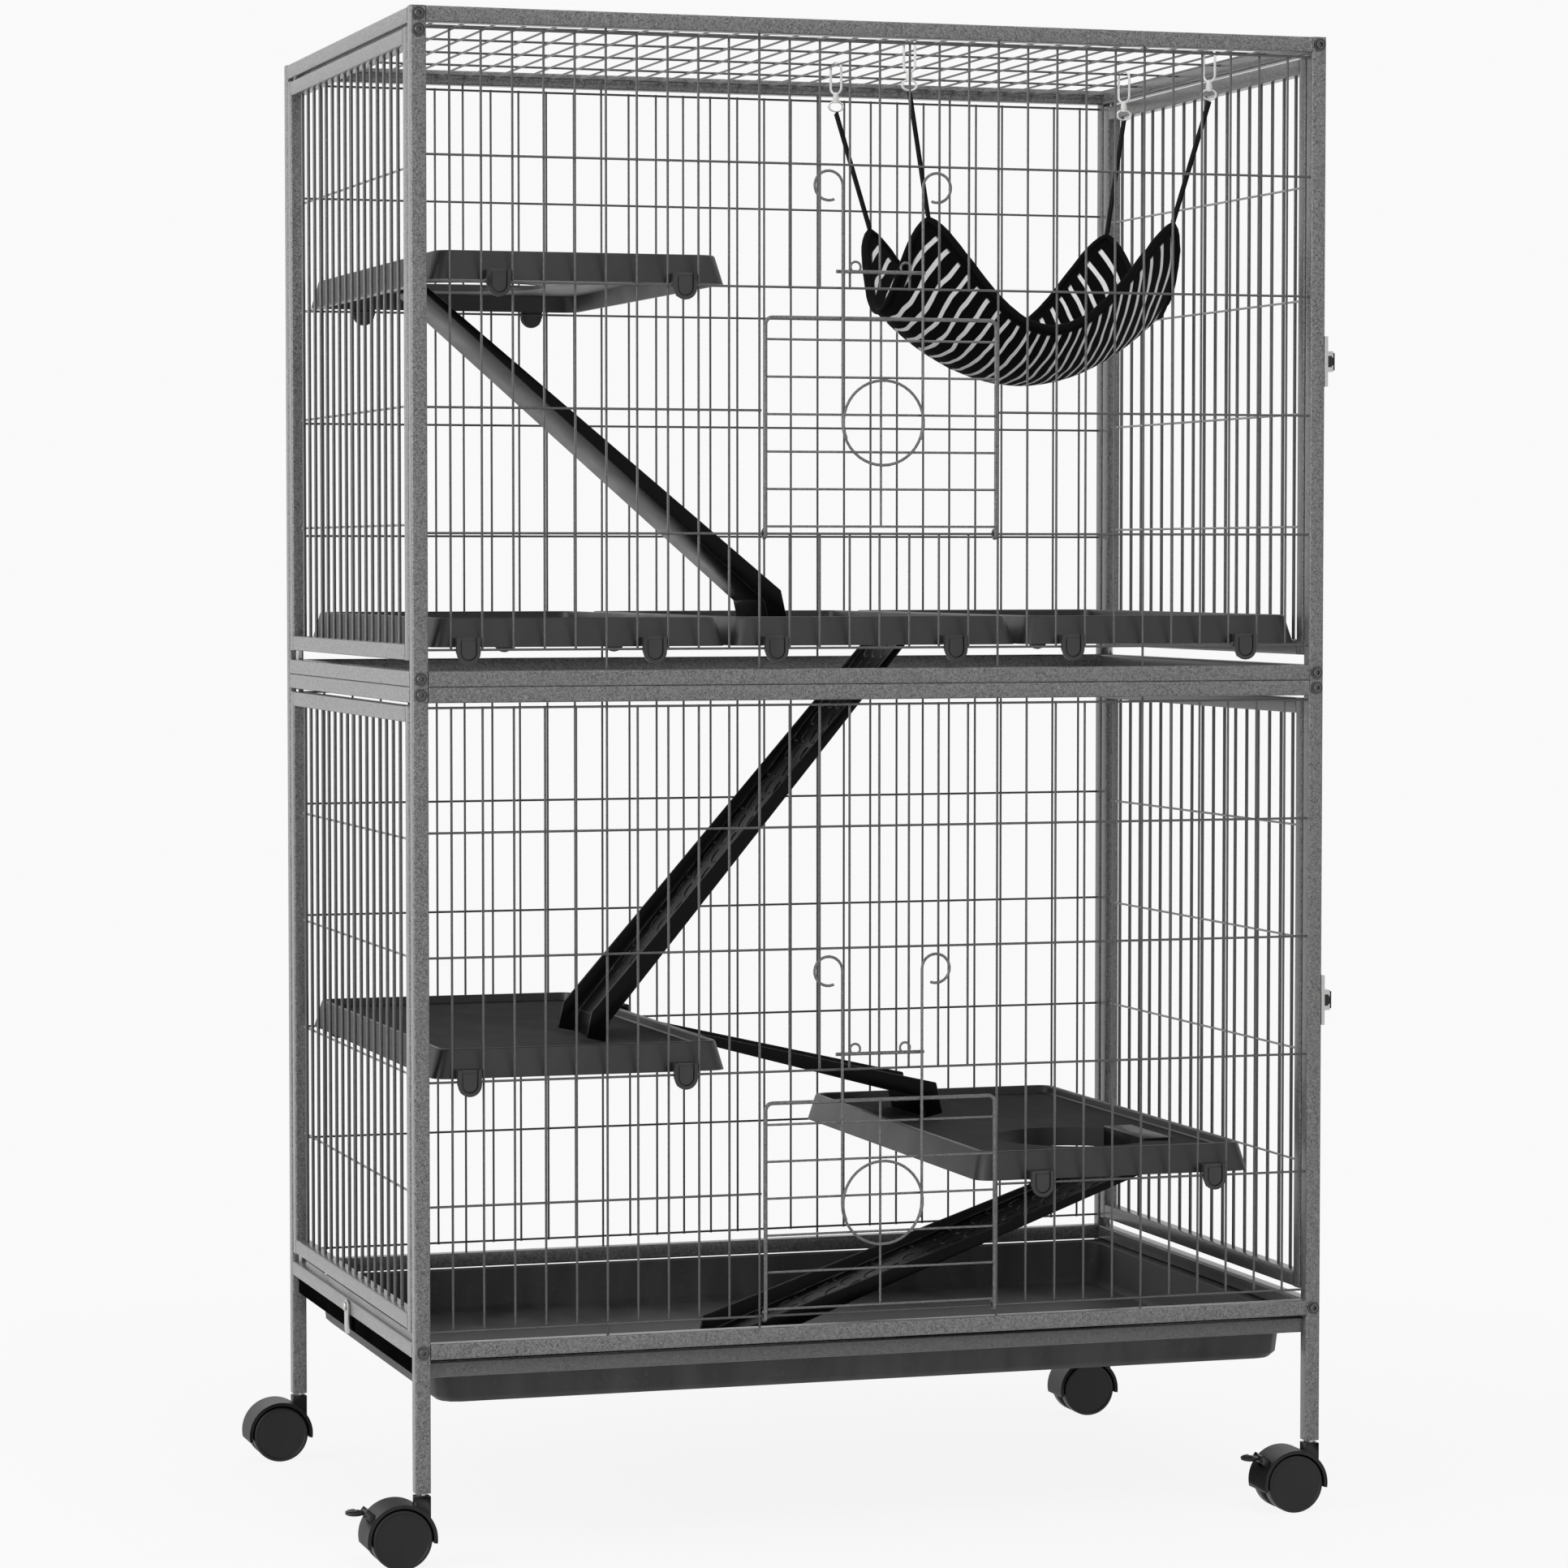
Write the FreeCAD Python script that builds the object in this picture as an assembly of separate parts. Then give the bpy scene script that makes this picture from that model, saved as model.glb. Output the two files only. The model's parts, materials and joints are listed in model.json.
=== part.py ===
"""Two-storey rolling wire cage for small animals, in millimetres.

The frame stands on the floor at z = 0, with its middle at x = y = 0.
+X is to the right, +Y to the back and +Z up; the small doors are in the front.
"""
import FreeCAD
import Part
import math
import os

V = FreeCAD.Vector
ALONG_X = V(1, 0, 0)
ALONG_Y = V(0, 1, 0)
ALONG_Z = V(0, 0, 1)

# Thin wires have few sides and their bends few steps, because there are hundreds of them
wire_sides = 6
bend_step = 45.0
corner_steps = 3
shaft_sides = 16
wheel_sides = 24
hole_sides = 24

# Frame of square tube
frame_width = 800.0
frame_depth = 506.0
tube = 13.0
tube_wall = 1.2
tube_chamfer = 1.2
post_cap_depth = 12.0
leg_lift = 60.0
leg_clear = 109.0
storey_clear = 522.5

# Wire panels at the front, the back and the top
wire = 2.0
wire_pitch = 26.2
long_columns = (4, 9)
row_pitch = 101.7
rows_from_top = 5
top_row_drop = 4.0
upper_foot_row_lift = 17.0
lower_foot_row_lift = 9.2
roof_row_pitch = 100.7
roof_edge_gap = 4.0
weld_gap = 0.02

# Framed side panels and side doors
panel_post_gap = 3.0
panel_top_gap = 3.0
panel_foot_gap = 8.5
bar = 3.0
bar_pitch = 25.44
cross_wire_count = 4
pin = 5.0
pin_reach = 6.0
pin_play = 0.05
plug_depth = 14.0
plug_play = 0.05

# Small front doors, hinged on a wire of the panel
opening_columns = 4
door_wire = 3.3
door_height = 178.2
door_corner = 6.0
door_bar_first = 6.0
door_bar_pitch = 30.85
door_bar_count = 6
hinge_play = 0.7
loop_side_gap = 0.5
loop_turn = 315.0

# Spring latch of a front door and its keeper
latch_wire = 2.4
latch_ring_radius = 35.1
latch_ring_lift = 92.0
latch_ring_step = 22.5
curl_radius = 12.2
curl_top_lift = 299.5
curl_turn = 292.5
keeper_wire = 3.0
keeper_lift = 217.0
keeper_overhang = 3.7
keeper_eye_radius = 5.3
keeper_eye_reach = 22.0

# Slide latch of a side door
latch_plate_height = 43.0
latch_plate_thick = 3.0
latch_lip = 1.2
latch_guide_height = 4.0
latch_guide_lap = 1.6
latch_height_share = 0.497
bolt_height = 9.0
bolt_thick = 3.0
bolt_play = 0.3
bolt_head_height = 15.0
bolt_head_thick = 2.0
bolt_head_length = 9.0
bolt_tongue_length = 2.3

# Shelves
shelf_height = 24.0
shelf_flare = 6.0
shelf_wall = 2.5
shelf_corner = 14.0
shelf_rim = 4.0
shelf_recess = 7.5
shelf_wire_gap = 3.0
shelf_lift = 2.0
shelf_side_gap = 6.0
lower_right_shelf_gap = 47.0
shelf_hole = 140.0
hole_shift_x = 15.0
hole_shift_y = 100.0

# Clips that hook a shelf over the panel wires
clip_width = 20.0
clip_height = 22.0
clip_rise = 8.0
clip_thick = 2.5
clip_wire_gap = 0.3

# Ramps
ramp_width = 96.0
ramp_plate = 2.5
ramp_wall_top = 3.0
ramp_wall_foot = 15.0
ramp_lip = 24.0
ramp_riser = 8.0
ramp_edge_gap = 0.4
ramp_seat_gap = 0.1
ramp_foot_height = 18.0
ramp_foot_lean = 4.0
upper_ramp_foot_shift = -4.0
middle_ramp_foot_shift = 46.0
bridge_ramp_foot_shift = -63.0
bridge_ramp_lip = 5.0
bridge_ramp_y = 120.0
lower_ramp_drop = 27.6
lower_ramp_foot_x = -86.0

# Tray on its runners
runner_set_back = 6.5
runner_drop = 2.5
tray_end_gap = 20.0
tray_runner_gap = 2.5
tray_floor_z = 128.5
tray_wall = 2.5
tray_corner = 22.0
tray_bottom_round = 5.0
tray_taper = 4.0
flange_thick = 2.0
flange_gap = 0.1
flange_side_gap = 0.6
flange_end_gap = 4.0
lip_drop = 13.0
lip_side_gap = 1.0

# Tray lock tab
tab_length = 30.0
tab_width = 12.0
tab_thick = 2.5
tab_gap = 0.3
tab_pivot_drop = 5.5
rivet = 5.0
rivet_head = 8.0
rivet_head_height = 1.5

# Casters
caster_trail = 20.0
wheel_radius = 25.0
wheel_width = 13.0
wheel_chamfer = 2.0
wheel_rim = 2.0
wheel_dish = 1.0
axle_radius = 3.0
axle_play = 0.06
web_thick = 9.6
web_gap = 0.5
hood_gap = 1.2
hood_thick = 3.0
hood_start = -8.0
hood_turn = 200.0
hood_step = 12.5
neck_width = 12.4
neck_foot = 38.0
stem_radius = 4.0
stem_play = 0.05
stem_reach = 14.0
stem_seat_gap = 0.3
stem_collar = 10.0
stem_collar_height = 2.1
stem_collar_sides = 12
stem_plug_height = 30.0

# Brake lever of the front casters
lever_angle = 142.0
lever_length = 20.0
lever_width = 14.0
lever_thick = 5.0
lever_boss_radius = 3.4
lever_pin_radius = 1.5
lever_pin_play = 0.06
lever_gap = 0.4
lever_ear = 2.0
lever_ridge = 1.0
lever_ridge_count = 5

# Hammock of cloth
hook_column_shares = (11.76, 1.24)
hook_row_shares = (-1.5, 0.5)
hammock_length = 242.0
hammock_width = 184.0
hammock_corner_z = 1160.5
hammock_edge_sag = 140.5
hammock_end_sag = 123.5
hammock_middle_sag = 186.5
hammock_waist = 10.0
hammock_end_bow = 10.0
hammock_thick = 2.5
hammock_cell_counts = (12, 8)
strap_width = 9.0
strap_thick = 1.6
strap_gap = 0.3
hook_wire = 2.0
hook_width = 13.0
hook_length = 30.0
hook_gate = 0.6
hook_eye = 15.0
eye_gate_angle = 4.0
hook_turn = 40.0
hook_wire_gap = 0.5

# One overrun serves all cuts
over = 1.0

# Levels and places that follow from the sizes
base_bottom = leg_lift + leg_clear
base_top = base_bottom + tube
lower_ceiling = base_top + storey_clear
mid_seam = lower_ceiling + tube
upper_floor = mid_seam + tube
upper_ceiling = upper_floor + storey_clear
frame_top = upper_ceiling + tube
half_width = frame_width / 2
half_depth = frame_depth / 2
post_x = half_width - tube / 2
post_y = half_depth - tube / 2
inner_x = half_width - tube
inner_y = half_depth - tube
hollow = tube - 2 * tube_wall
row_offset = wire + weld_gap
row_y = post_y + row_offset
upper_rows = [upper_ceiling - top_row_drop - i * row_pitch for i in range(rows_from_top)]
upper_rows.append(upper_floor + upper_foot_row_lift)
lower_rows = [lower_ceiling - top_row_drop - i * row_pitch for i in range(rows_from_top)]
lower_rows.append(base_top + lower_foot_row_lift)
columns_each_side = int(inner_x / wire_pitch)
columns = range(-columns_each_side, columns_each_side + 1)
storeys = (("lower", base_top, lower_ceiling), ("upper", upper_floor, upper_ceiling))
corners = (("front_left", -1, -1), ("front_right", 1, -1), ("rear_left", -1, 1),
           ("rear_right", 1, 1))
runner_top = base_bottom - runner_drop
runner_y = half_depth - runner_set_back - tube / 2
tray_length = frame_width - 2 * tray_end_gap
tray_depth = 2 * (runner_y - tube / 2 - tray_runner_gap)
pin_y = inner_y - panel_post_gap - tube / 2
loop_radius = wire / 2 + hinge_play + door_wire / 2
shelf_width = (2 * inner_x - 4 * shelf_side_gap) / 3
shelf_x = inner_x - shelf_side_gap - shelf_width / 2
lower_right_shelf_x = inner_x - lower_right_shelf_gap - shelf_width / 2
shelf_depth = 2 * (post_y - wire / 2 - shelf_wire_gap)
deck_lift = shelf_height - shelf_recess
hood_inner = wheel_radius + hood_gap
hood_outer = hood_inner + hood_thick
caster_width = web_thick + 2 * (web_gap + wheel_width)
neck_top = leg_lift - stem_collar_height - stem_seat_gap


def block(x0, y0, z0, x1, y1, z1):
    """A box between two opposite corners."""
    size = V(abs(x1 - x0), abs(y1 - y0), abs(z1 - z0))
    return Part.makeBox(size.x, size.y, size.z, V(min(x0, x1), min(y0, y1), min(z0, z1)))


def prism(points, run):
    """A closed outline of points drawn out along run."""
    return Part.Face(Part.makePolygon(points + [points[0]])).extrude(run)


def corner_reach(thick, sides=wire_sides):
    """From a wire's middle to the corners of its section, for a thickness over the flats."""
    return thick / 2 / math.cos(math.pi / sides)


def around(centre, u, v, radius, turn):
    """A point about a centre, turned from direction u towards direction v."""
    return centre.add(V(u).multiply(radius * math.cos(turn))).add(V(v).multiply(radius * math.sin(turn)))


def wire_section(centre, heading, facing, thick, sides):
    """Corners of a wire's section with one flat towards facing."""
    across = V(heading).cross(facing).normalize()
    radius = corner_reach(thick, sides)
    turns = [2 * math.pi * (i + 0.5) / sides for i in range(sides)]
    return [around(centre, facing, across, radius, turn) for turn in turns]


def rod(start, end, thick, facing, sides=wire_sides):
    """A straight wire between two points."""
    run = end.sub(start)
    return prism(wire_section(start, V(run).normalize(), facing, thick, sides), run)


def shaft(start, end, radius, facing, sides=shaft_sides):
    """A turned bar of many sides, with its corners on the radius so that it turns in its bore."""
    return rod(start, end, 2 * radius * math.cos(math.pi / sides), facing, sides)


def bore(start, end, radius, facing, sides=shaft_sides):
    """The cutter of a round hole of many sides, with its flats on the radius."""
    return rod(start, end, 2 * radius, facing, sides)


def bent_wire(points, thick, facing):
    """A wire along a path, with mitred bends."""
    headings = [b.sub(a).normalize() for a, b in zip(points, points[1:])]
    ring = wire_section(points[0], headings[0], facing, thick, wire_sides)
    rings = [ring]
    for i, heading in enumerate(headings):
        follower = headings[min(i + 1, len(headings) - 1)]
        normal = heading.add(follower)
        slant = heading.dot(normal)
        ring = [p.add(V(heading).multiply(points[i + 1].sub(p).dot(normal) / slant)) for p in ring]
        rings.append(ring)
    return Part.makeLoft([Part.makePolygon(r + [r[0]]) for r in rings], True, True)


def arc_points(centre, u, v, radius, start, turn, step=bend_step):
    """Points on an arc in the plane of the directions u and v, angles in degrees."""
    count = max(1, math.ceil(abs(turn) / step))
    angles = [math.radians(start + turn * i / count) for i in range(count + 1)]
    return [around(centre, u, v, radius, angle) for angle in angles]


def rounded_rectangle(width, depth, radius, z):
    """A closed outline with round corners, level at height z and centred on the origin."""
    points = []
    for quarter, (sx, sy) in enumerate(((1, 1), (-1, 1), (-1, -1), (1, -1))):
        centre = V(sx * (width / 2 - radius), sy * (depth / 2 - radius), z)
        points += arc_points(centre, ALONG_X, ALONG_Y, radius, 90 * quarter, 90, 90 / corner_steps)
    return Part.makePolygon(points + [points[0]])


def square_tube(start, end):
    """A square tube with broken edges, along one of the main directions."""
    run = end.sub(start)
    a = tube / 2
    b = a - tube_chamfer
    c = hollow / 2
    outline = [(a, b), (b, a), (-b, a), (-a, b), (-a, -b), (-b, -a), (b, -a), (a, -b)]
    outer = prism([V(x, y, 0) for x, y in outline], V(0, 0, run.Length))
    solid = outer.cut(block(-c, -c, -over, c, c, run.Length + over))
    if abs(run.x) > 0:
        solid.rotate(V(0, 0, 0), ALONG_Y, 90)
    elif abs(run.y) > 0:
        solid.rotate(V(0, 0, 0), ALONG_X, -90)
    solid.translate(start)
    return solid


def save(name, solids):
    """One file for one piece of the cage."""
    shape = solids[0] if len(solids) == 1 else Part.makeCompound(solids)
    shape.exportStep("parts/%s.step" % name)


def posts():
    """Four corner posts, from the casters to the top, with caps pressed into their upper ends."""
    half = hollow / 2 - plug_play
    caps = []
    for name, sx, sy in corners:
        foot = V(sx * post_x, sy * post_y, leg_lift)
        save("post_" + name, [square_tube(foot, V(foot.x, foot.y, frame_top))])
        caps.append(block(foot.x - half, foot.y - half, frame_top - post_cap_depth,
                          foot.x + half, foot.y + half, frame_top))
    save("post_caps", caps)


def pin_shape(side, y, low, high):
    """A pin: six-sided where the panel is fixed, round where the door turns on it."""
    x = side * post_x
    if side < 0:
        return rod(V(x, y, low), V(x, y, high), pin, ALONG_X)
    return shaft(V(x, y, low), V(x, y, high), pin / 2, ALONG_X)


def pin_hole(side, y, low, high):
    """The cutter of a pin's hole in a rail."""
    x = side * post_x
    sides = wire_sides if side < 0 else shaft_sides
    return bore(V(x, y, low), V(x, y, high), pin / 2 + pin_play, ALONG_X, sides)


def pin_places(side):
    """Both upright tubes of a fixed panel have pins, but only the rear tube of a door."""
    return (-pin_y, pin_y) if side < 0 else (pin_y,)


def rails():
    """Level rails between the posts, with holes for the pins of the side panels."""
    levels = (("base_rails", base_bottom, base_top), ("mid_lower_rails", lower_ceiling, lower_ceiling),
              ("mid_upper_rails", mid_seam, upper_floor), ("top_rails", upper_ceiling, upper_ceiling))
    for name, bottom, drilled in levels:
        z = bottom + tube / 2
        solids = [square_tube(V(-inner_x, s * post_y, z), V(inner_x, s * post_y, z)) for s in (-1, 1)]
        for side in (-1, 1):
            rail = square_tube(V(side * post_x, -inner_y, z), V(side * post_x, inner_y, z))
            reach = tube_wall + over
            for y in pin_places(side):
                rail = rail.cut(pin_hole(side, y, drilled - reach, drilled + reach))
            solids.append(rail)
        save(name, solids)


def tray_runners():
    """Two tubes set back under the base rails, so that the tray's flange runs on their inner half."""
    z = runner_top - tube / 2
    save("tray_runners",
         [square_tube(V(-inner_x, s * runner_y, z), V(inner_x, s * runner_y, z)) for s in (-1, 1)])


def wire_wall(side, floor, ceiling, rows, opening):
    """Upright and level wires of a front or back wall, with an opening between two rows if asked."""
    solids = []
    half = wire / 2
    for k in columns:
        x = k * wire_pitch
        low, high = (floor, ceiling) if abs(k) in long_columns else (rows[-1] - half, rows[0] + half)
        spans = [(low, high)]
        if opening and abs(k) < opening_columns:
            spans = [(low, opening[0] + half), (opening[1] - half, high)]
        y = side * post_y
        solids += [rod(V(x, y, a), V(x, y, b), wire, ALONG_Y) for a, b in spans if b - a > wire]
    reach = opening_columns * wire_pitch - half
    for z in rows:
        spans = [(-inner_x, inner_x)]
        if opening and opening[0] < z < opening[1]:
            spans = [(-inner_x, -reach), (reach, inner_x)]
        solids += [rod(V(a, side * row_y, z), V(b, side * row_y, z), wire, ALONG_Y) for a, b in spans]
    return solids


def wire_walls():
    """Front and back walls of both storeys, and the roof."""
    lower = (base_top, lower_ceiling, lower_rows)
    upper = (upper_floor, upper_ceiling, upper_rows)
    save("front_lower_panel", wire_wall(-1, *lower, (lower_rows[5], lower_rows[3])))
    save("front_upper_panel", wire_wall(-1, *upper, (upper_rows[4], upper_rows[2])))
    save("rear_lower_panel", wire_wall(1, *lower, None))
    save("rear_upper_panel", wire_wall(1, *upper, None))
    z = upper_ceiling + tube / 2
    solids = []
    for k in columns:
        x = k * wire_pitch
        solids.append(rod(V(x, -inner_y, z), V(x, inner_y, z), wire, ALONG_Z))
    edge = inner_y - roof_edge_gap
    z += row_offset
    for y in [-edge] + [i * roof_row_pitch for i in (-1.5, -0.5, 0.5, 1.5)] + [edge]:
        solids.append(rod(V(-inner_x, y, z), V(inner_x, y, z), wire, ALONG_Z))
    save("top_panel", solids)


def side_frame(side, floor, ceiling):
    """A framed side panel: four tubes, upright bars and thin cross wires on the inside."""
    low = floor + panel_foot_gap
    high = ceiling - panel_top_gap
    reach = pin_y - tube / 2
    x = side * post_x
    solids = [square_tube(V(x, s * pin_y, low), V(x, s * pin_y, high)) for s in (-1, 1)]
    for z in (low + tube / 2, high - tube / 2):
        solids.append(square_tube(V(x, -reach, z), V(x, reach, z)))
    bar_count = int(2 * reach / bar_pitch)
    for i in range(bar_count):
        y = (i - (bar_count - 1) / 2) * bar_pitch
        solids.append(rod(V(x, y, low + tube), V(x, y, high - tube), bar, ALONG_X))
    wire_x = side * (post_x - bar / 2 - wire / 2 - weld_gap)
    step = (high - low - 2 * tube) / (cross_wire_count + 1)
    for i in range(cross_wire_count):
        z = low + tube + (i + 1) * step
        solids.append(rod(V(wire_x, -reach, z), V(wire_x, reach, z), wire, ALONG_X))
    return solids


def side_pins(side, floor, ceiling):
    """Plugs in the ends of the upright tubes, each with a pin into the rail above or below."""
    solids = []
    half = hollow / 2 - plug_play
    x = side * post_x
    for y in pin_places(side):
        foot = floor + panel_foot_gap
        head = ceiling - panel_top_gap
        plug = block(x - half, y - half, foot, x + half, y + half, foot + plug_depth)
        solids.append(plug.fuse(pin_shape(side, y, floor - pin_reach, foot)))
        plug = block(x - half, y - half, head, x + half, y + half, head - plug_depth)
        solids.append(plug.fuse(pin_shape(side, y, head, ceiling + pin_reach)))
    return solids


def sides():
    """Fixed panels on the left and doors on the right, each with its pins."""
    left_pins = []
    for name, floor, ceiling in storeys:
        save("left_%s_panel" % name, side_frame(-1, floor, ceiling))
        left_pins += side_pins(-1, floor, ceiling)
        save("right_%s_door" % name, side_frame(1, floor, ceiling))
        save("right_%s_door_pins" % name, side_pins(1, floor, ceiling))
    save("left_panel_pins", left_pins)


def front_door(hinge_z):
    """A bent frame wire with an eye round the hinge wire at each foot, level bars and one upright."""
    half = opening_columns * wire_pitch - corner_reach(wire) - loop_side_gap - corner_reach(door_wire)
    y = -row_y - loop_radius
    top = hinge_z + door_height
    bend = door_corner
    outward = V(0, -1, 0)
    down = V(0, 0, -1)
    path = arc_points(V(-half, -row_y, hinge_z), outward, down, loop_radius, loop_turn, -loop_turn)
    path += arc_points(V(-half + bend, y, top - bend), V(-1, 0, 0), ALONG_Z, bend, 0, 90)
    path += arc_points(V(half - bend, y, top - bend), ALONG_Z, ALONG_X, bend, 0, 90)
    path += arc_points(V(half, -row_y, hinge_z), outward, down, loop_radius, 0, loop_turn)
    first = path[1].sub(path[0]).normalize()
    solids = [bent_wire(path, door_wire, first.cross(ALONG_X))]
    reach = half - corner_reach(door_wire) - weld_gap
    levels = [hinge_z + door_bar_first + i * door_bar_pitch for i in range(door_bar_count)]
    solids += [rod(V(-reach, y, z), V(reach, y, z), wire, ALONG_Y) for z in levels]
    y += row_offset
    foot = levels[0] - wire / 2
    solids.append(rod(V(0, y, foot), V(0, y, top - corner_reach(door_wire) - weld_gap), wire, ALONG_Y))
    return solids


def spring_latch(hinge_z):
    """One spring wire in two solids: curls, arms and the lower half turn, then the upper turn in front."""
    reach = latch_ring_radius
    y = -row_y - loop_radius - door_wire / 2 - weld_gap - latch_wire / 2
    curl_z = hinge_z + curl_top_lift - curl_radius
    ring = V(0, y, hinge_z + latch_ring_lift)
    left = V(-reach - curl_radius, y, curl_z)
    right = V(reach + curl_radius, y, curl_z)
    back = V(-1, 0, 0)
    path = arc_points(left, ALONG_X, ALONG_Z, curl_radius, curl_turn, -curl_turn)
    path += arc_points(ring, back, V(0, 0, -1), reach, 0, 180, latch_ring_step)
    path += arc_points(right, back, ALONG_Z, curl_radius, 0, curl_turn)
    front = ring.sub(V(0, latch_wire + weld_gap, 0))
    lap = latch_ring_step
    turn = arc_points(front, ALONG_X, ALONG_Z, reach, -lap, 180 + 2 * lap, latch_ring_step)
    return [bent_wire(path, latch_wire, ALONG_Y), bent_wire(turn, latch_wire, ALONG_Y)]


def latch_keeper(hinge_z):
    """A bar across the panel wires above the opening, with two small eyes on it."""
    y = -post_y - wire / 2 - weld_gap - keeper_wire / 2
    z = hinge_z + keeper_lift
    reach = latch_ring_radius + keeper_overhang
    solids = [rod(V(-reach, y, z), V(reach, y, z), keeper_wire, ALONG_Y)]
    for s in (-1, 1):
        foot = V(s * keeper_eye_reach, y, z + corner_reach(keeper_wire) + weld_gap)
        out = V(keeper_eye_radius, 0, 0)
        eye = arc_points(foot.add(V(0, 0, wire / 2)), ALONG_X, ALONG_Z, keeper_eye_radius, 0, 180)
        solids.append(bent_wire([foot.add(out)] + eye + [foot.sub(out)], wire, ALONG_Y))
    return solids


def front_doors():
    """The doors of both storeys with their latches and keepers."""
    keepers = []
    for name, hinge_z in (("upper", upper_rows[4]), ("lower", lower_rows[5])):
        save("front_%s_door" % name, front_door(hinge_z))
        save("front_%s_latch" % name, spring_latch(hinge_z))
        keepers += latch_keeper(hinge_z)
    save("front_latch_keepers", keepers)


def side_latch_plate(z):
    """A plate on the front post with two guide lips for the bolt."""
    face = half_width + latch_plate_thick
    guide = face + bolt_thick + 2 * bolt_play
    slot = bolt_height / 2 + bolt_play
    outside = slot + latch_guide_height
    inside = slot - latch_guide_lap
    lip = guide + latch_lip
    half = latch_plate_height / 2
    upper = [(face, slot), (guide, slot), (guide, inside), (lip, inside), (lip, outside), (face, outside),
             (face, half), (half_width, half)]
    outline = upper + [(x, -h) for x, h in reversed(upper)]
    return prism([V(x, -half_depth, z + h) for x, h in outline], V(0, tube, 0))


def side_bolt(z):
    """A sliding bar with a tongue that goes over the door's tube, stored drawn back, and a knob."""
    back = half_width + latch_plate_thick + bolt_play
    face = back + bolt_thick
    cap = face + bolt_play + latch_lip + bolt_play
    end = -half_depth + tube + bolt_tongue_length + bolt_play
    high = bolt_height / 2
    neck = high - latch_guide_lap - bolt_play
    knob = bolt_head_height / 2
    near = -half_depth + (tube - bolt_head_length) / 2
    far = near + bolt_head_length
    pieces = [block(half_width + bolt_play, end - bolt_tongue_length, z - high, back, end, z + high),
              block(face, near, z - neck, cap, far, z + neck),
              block(cap, near, z - knob, cap + bolt_head_thick, far, z + knob)]
    return block(back, -half_depth, z - high, face, end, z + high).multiFuse(pieces)


def side_latches():
    """One slide latch for each side door."""
    for name, floor, ceiling in storeys:
        z = floor + latch_height_share * storey_clear
        save("right_%s_latch_plate" % name, [side_latch_plate(z)])
        save("right_%s_bolt" % name, [side_bolt(z)])


def shelf(x, wire_z, hole_sign):
    """A moulded shelf with a flared skirt and a sunk deck; hole_sign, if not zero, places a collared hole."""
    slope = shelf_flare / shelf_height

    def ring(inset, level, z):
        shrink = 2 * (slope * level + inset)
        radius = max(shelf_corner - inset, shelf_wall)
        return rounded_rectangle(shelf_width - shrink, shelf_depth - shrink, radius, z)

    high = shelf_height
    under = deck_lift - shelf_wall
    body = Part.makeLoft([ring(0, 0, 0), ring(0, high, high)], True, True)
    below = Part.makeLoft([ring(shelf_wall, -over, -over), ring(shelf_wall, under, under)], True, True)
    recess = Part.makeLoft([ring(shelf_rim, high, deck_lift), ring(shelf_rim, high, high + over)], True, True)
    solid = body.cut(below).cut(recess)
    if hole_sign:
        foot = V(hole_sign * hole_shift_x, -hole_sign * hole_shift_y, 0)
        deck = foot.add(V(0, 0, deck_lift))
        collar = bore(foot, deck, shelf_hole / 2 + shelf_wall, ALONG_X, hole_sides)
        solid = solid.fuse(collar).cut(bore(foot, deck, shelf_hole / 2, ALONG_X, hole_sides))
    solid.translate(V(x, 0, wire_z + shelf_lift))
    return solid


def shelf_clip(x, side, wire_z):
    """A round-ended tongue outside the wires and a bridge over the wire back to the skirt."""
    slope = shelf_flare / shelf_height
    bottom = wire_z + shelf_lift
    back = row_y + wire / 2 + clip_wire_gap
    top = bottom + clip_rise
    half = clip_width / 2
    round_z = top - clip_height + half
    outline = [V(half, back, top), V(-half, back, top)]
    outline += arc_points(V(0, back, round_z), V(-1, 0, 0), V(0, 0, -1), half, 0, 180)
    plate = prism(outline, V(0, clip_thick, 0))
    low = wire_z + wire + clip_wire_gap
    skirt = shelf_depth / 2
    bridge = prism([V(-half, skirt - slope * (low - bottom), low), V(-half, back, low), V(-half, back, top),
                    V(-half, skirt - slope * (top - bottom), top)], V(clip_width, 0, 0))
    clip = plate.fuse(bridge).removeSplitter()
    if side < 0:
        clip = clip.mirror(V(0, 0, 0), ALONG_Y)
    clip.translate(V(x, 0, 0))
    return clip


def shelves():
    """Six shelves over the panel wires; each clip sits midway between two upright wires."""
    places = (("upper_left_shelf", -shelf_x, upper_rows[2], -1, (-3, 3)),
              ("mid_left_shelf", -shelf_x, upper_rows[5], 0, (-4, 2)),
              ("mid_centre_shelf", 0, upper_rows[5], 1, (-4, 2)),
              ("mid_right_shelf", shelf_x, upper_rows[5], 0, (-3, 3)),
              ("lower_left_shelf", -shelf_x, lower_rows[3], 0, (-4, 3)),
              ("lower_right_shelf", lower_right_shelf_x, lower_rows[4], 1, (-3, 3)))
    clips = []
    for name, x, row, hole_sign, steps in places:
        save(name, [shelf(x, row, hole_sign)])
        gap_x = (math.floor(x / wire_pitch) + 0.5) * wire_pitch
        clips += [shelf_clip(gap_x + step * wire_pitch, side, row) for step in steps for side in (-1, 1)]
    save("shelf_clips", clips)


def offset_points(points, distances):
    """Points moved to the left of a path, each by its own distance, with mitred corners."""
    normals = []
    for a, b in zip(points, points[1:]):
        run = b.sub(a)
        normals.append(V(-run.z, 0, run.x).normalize())
    moved = []
    for i, point in enumerate(points):
        both = normals[max(i - 1, 0)].add(normals[min(i, len(normals) - 1)])
        moved.append(point.add(V(both).multiply(distances[i] * 2 / both.dot(both))))
    return moved


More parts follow.
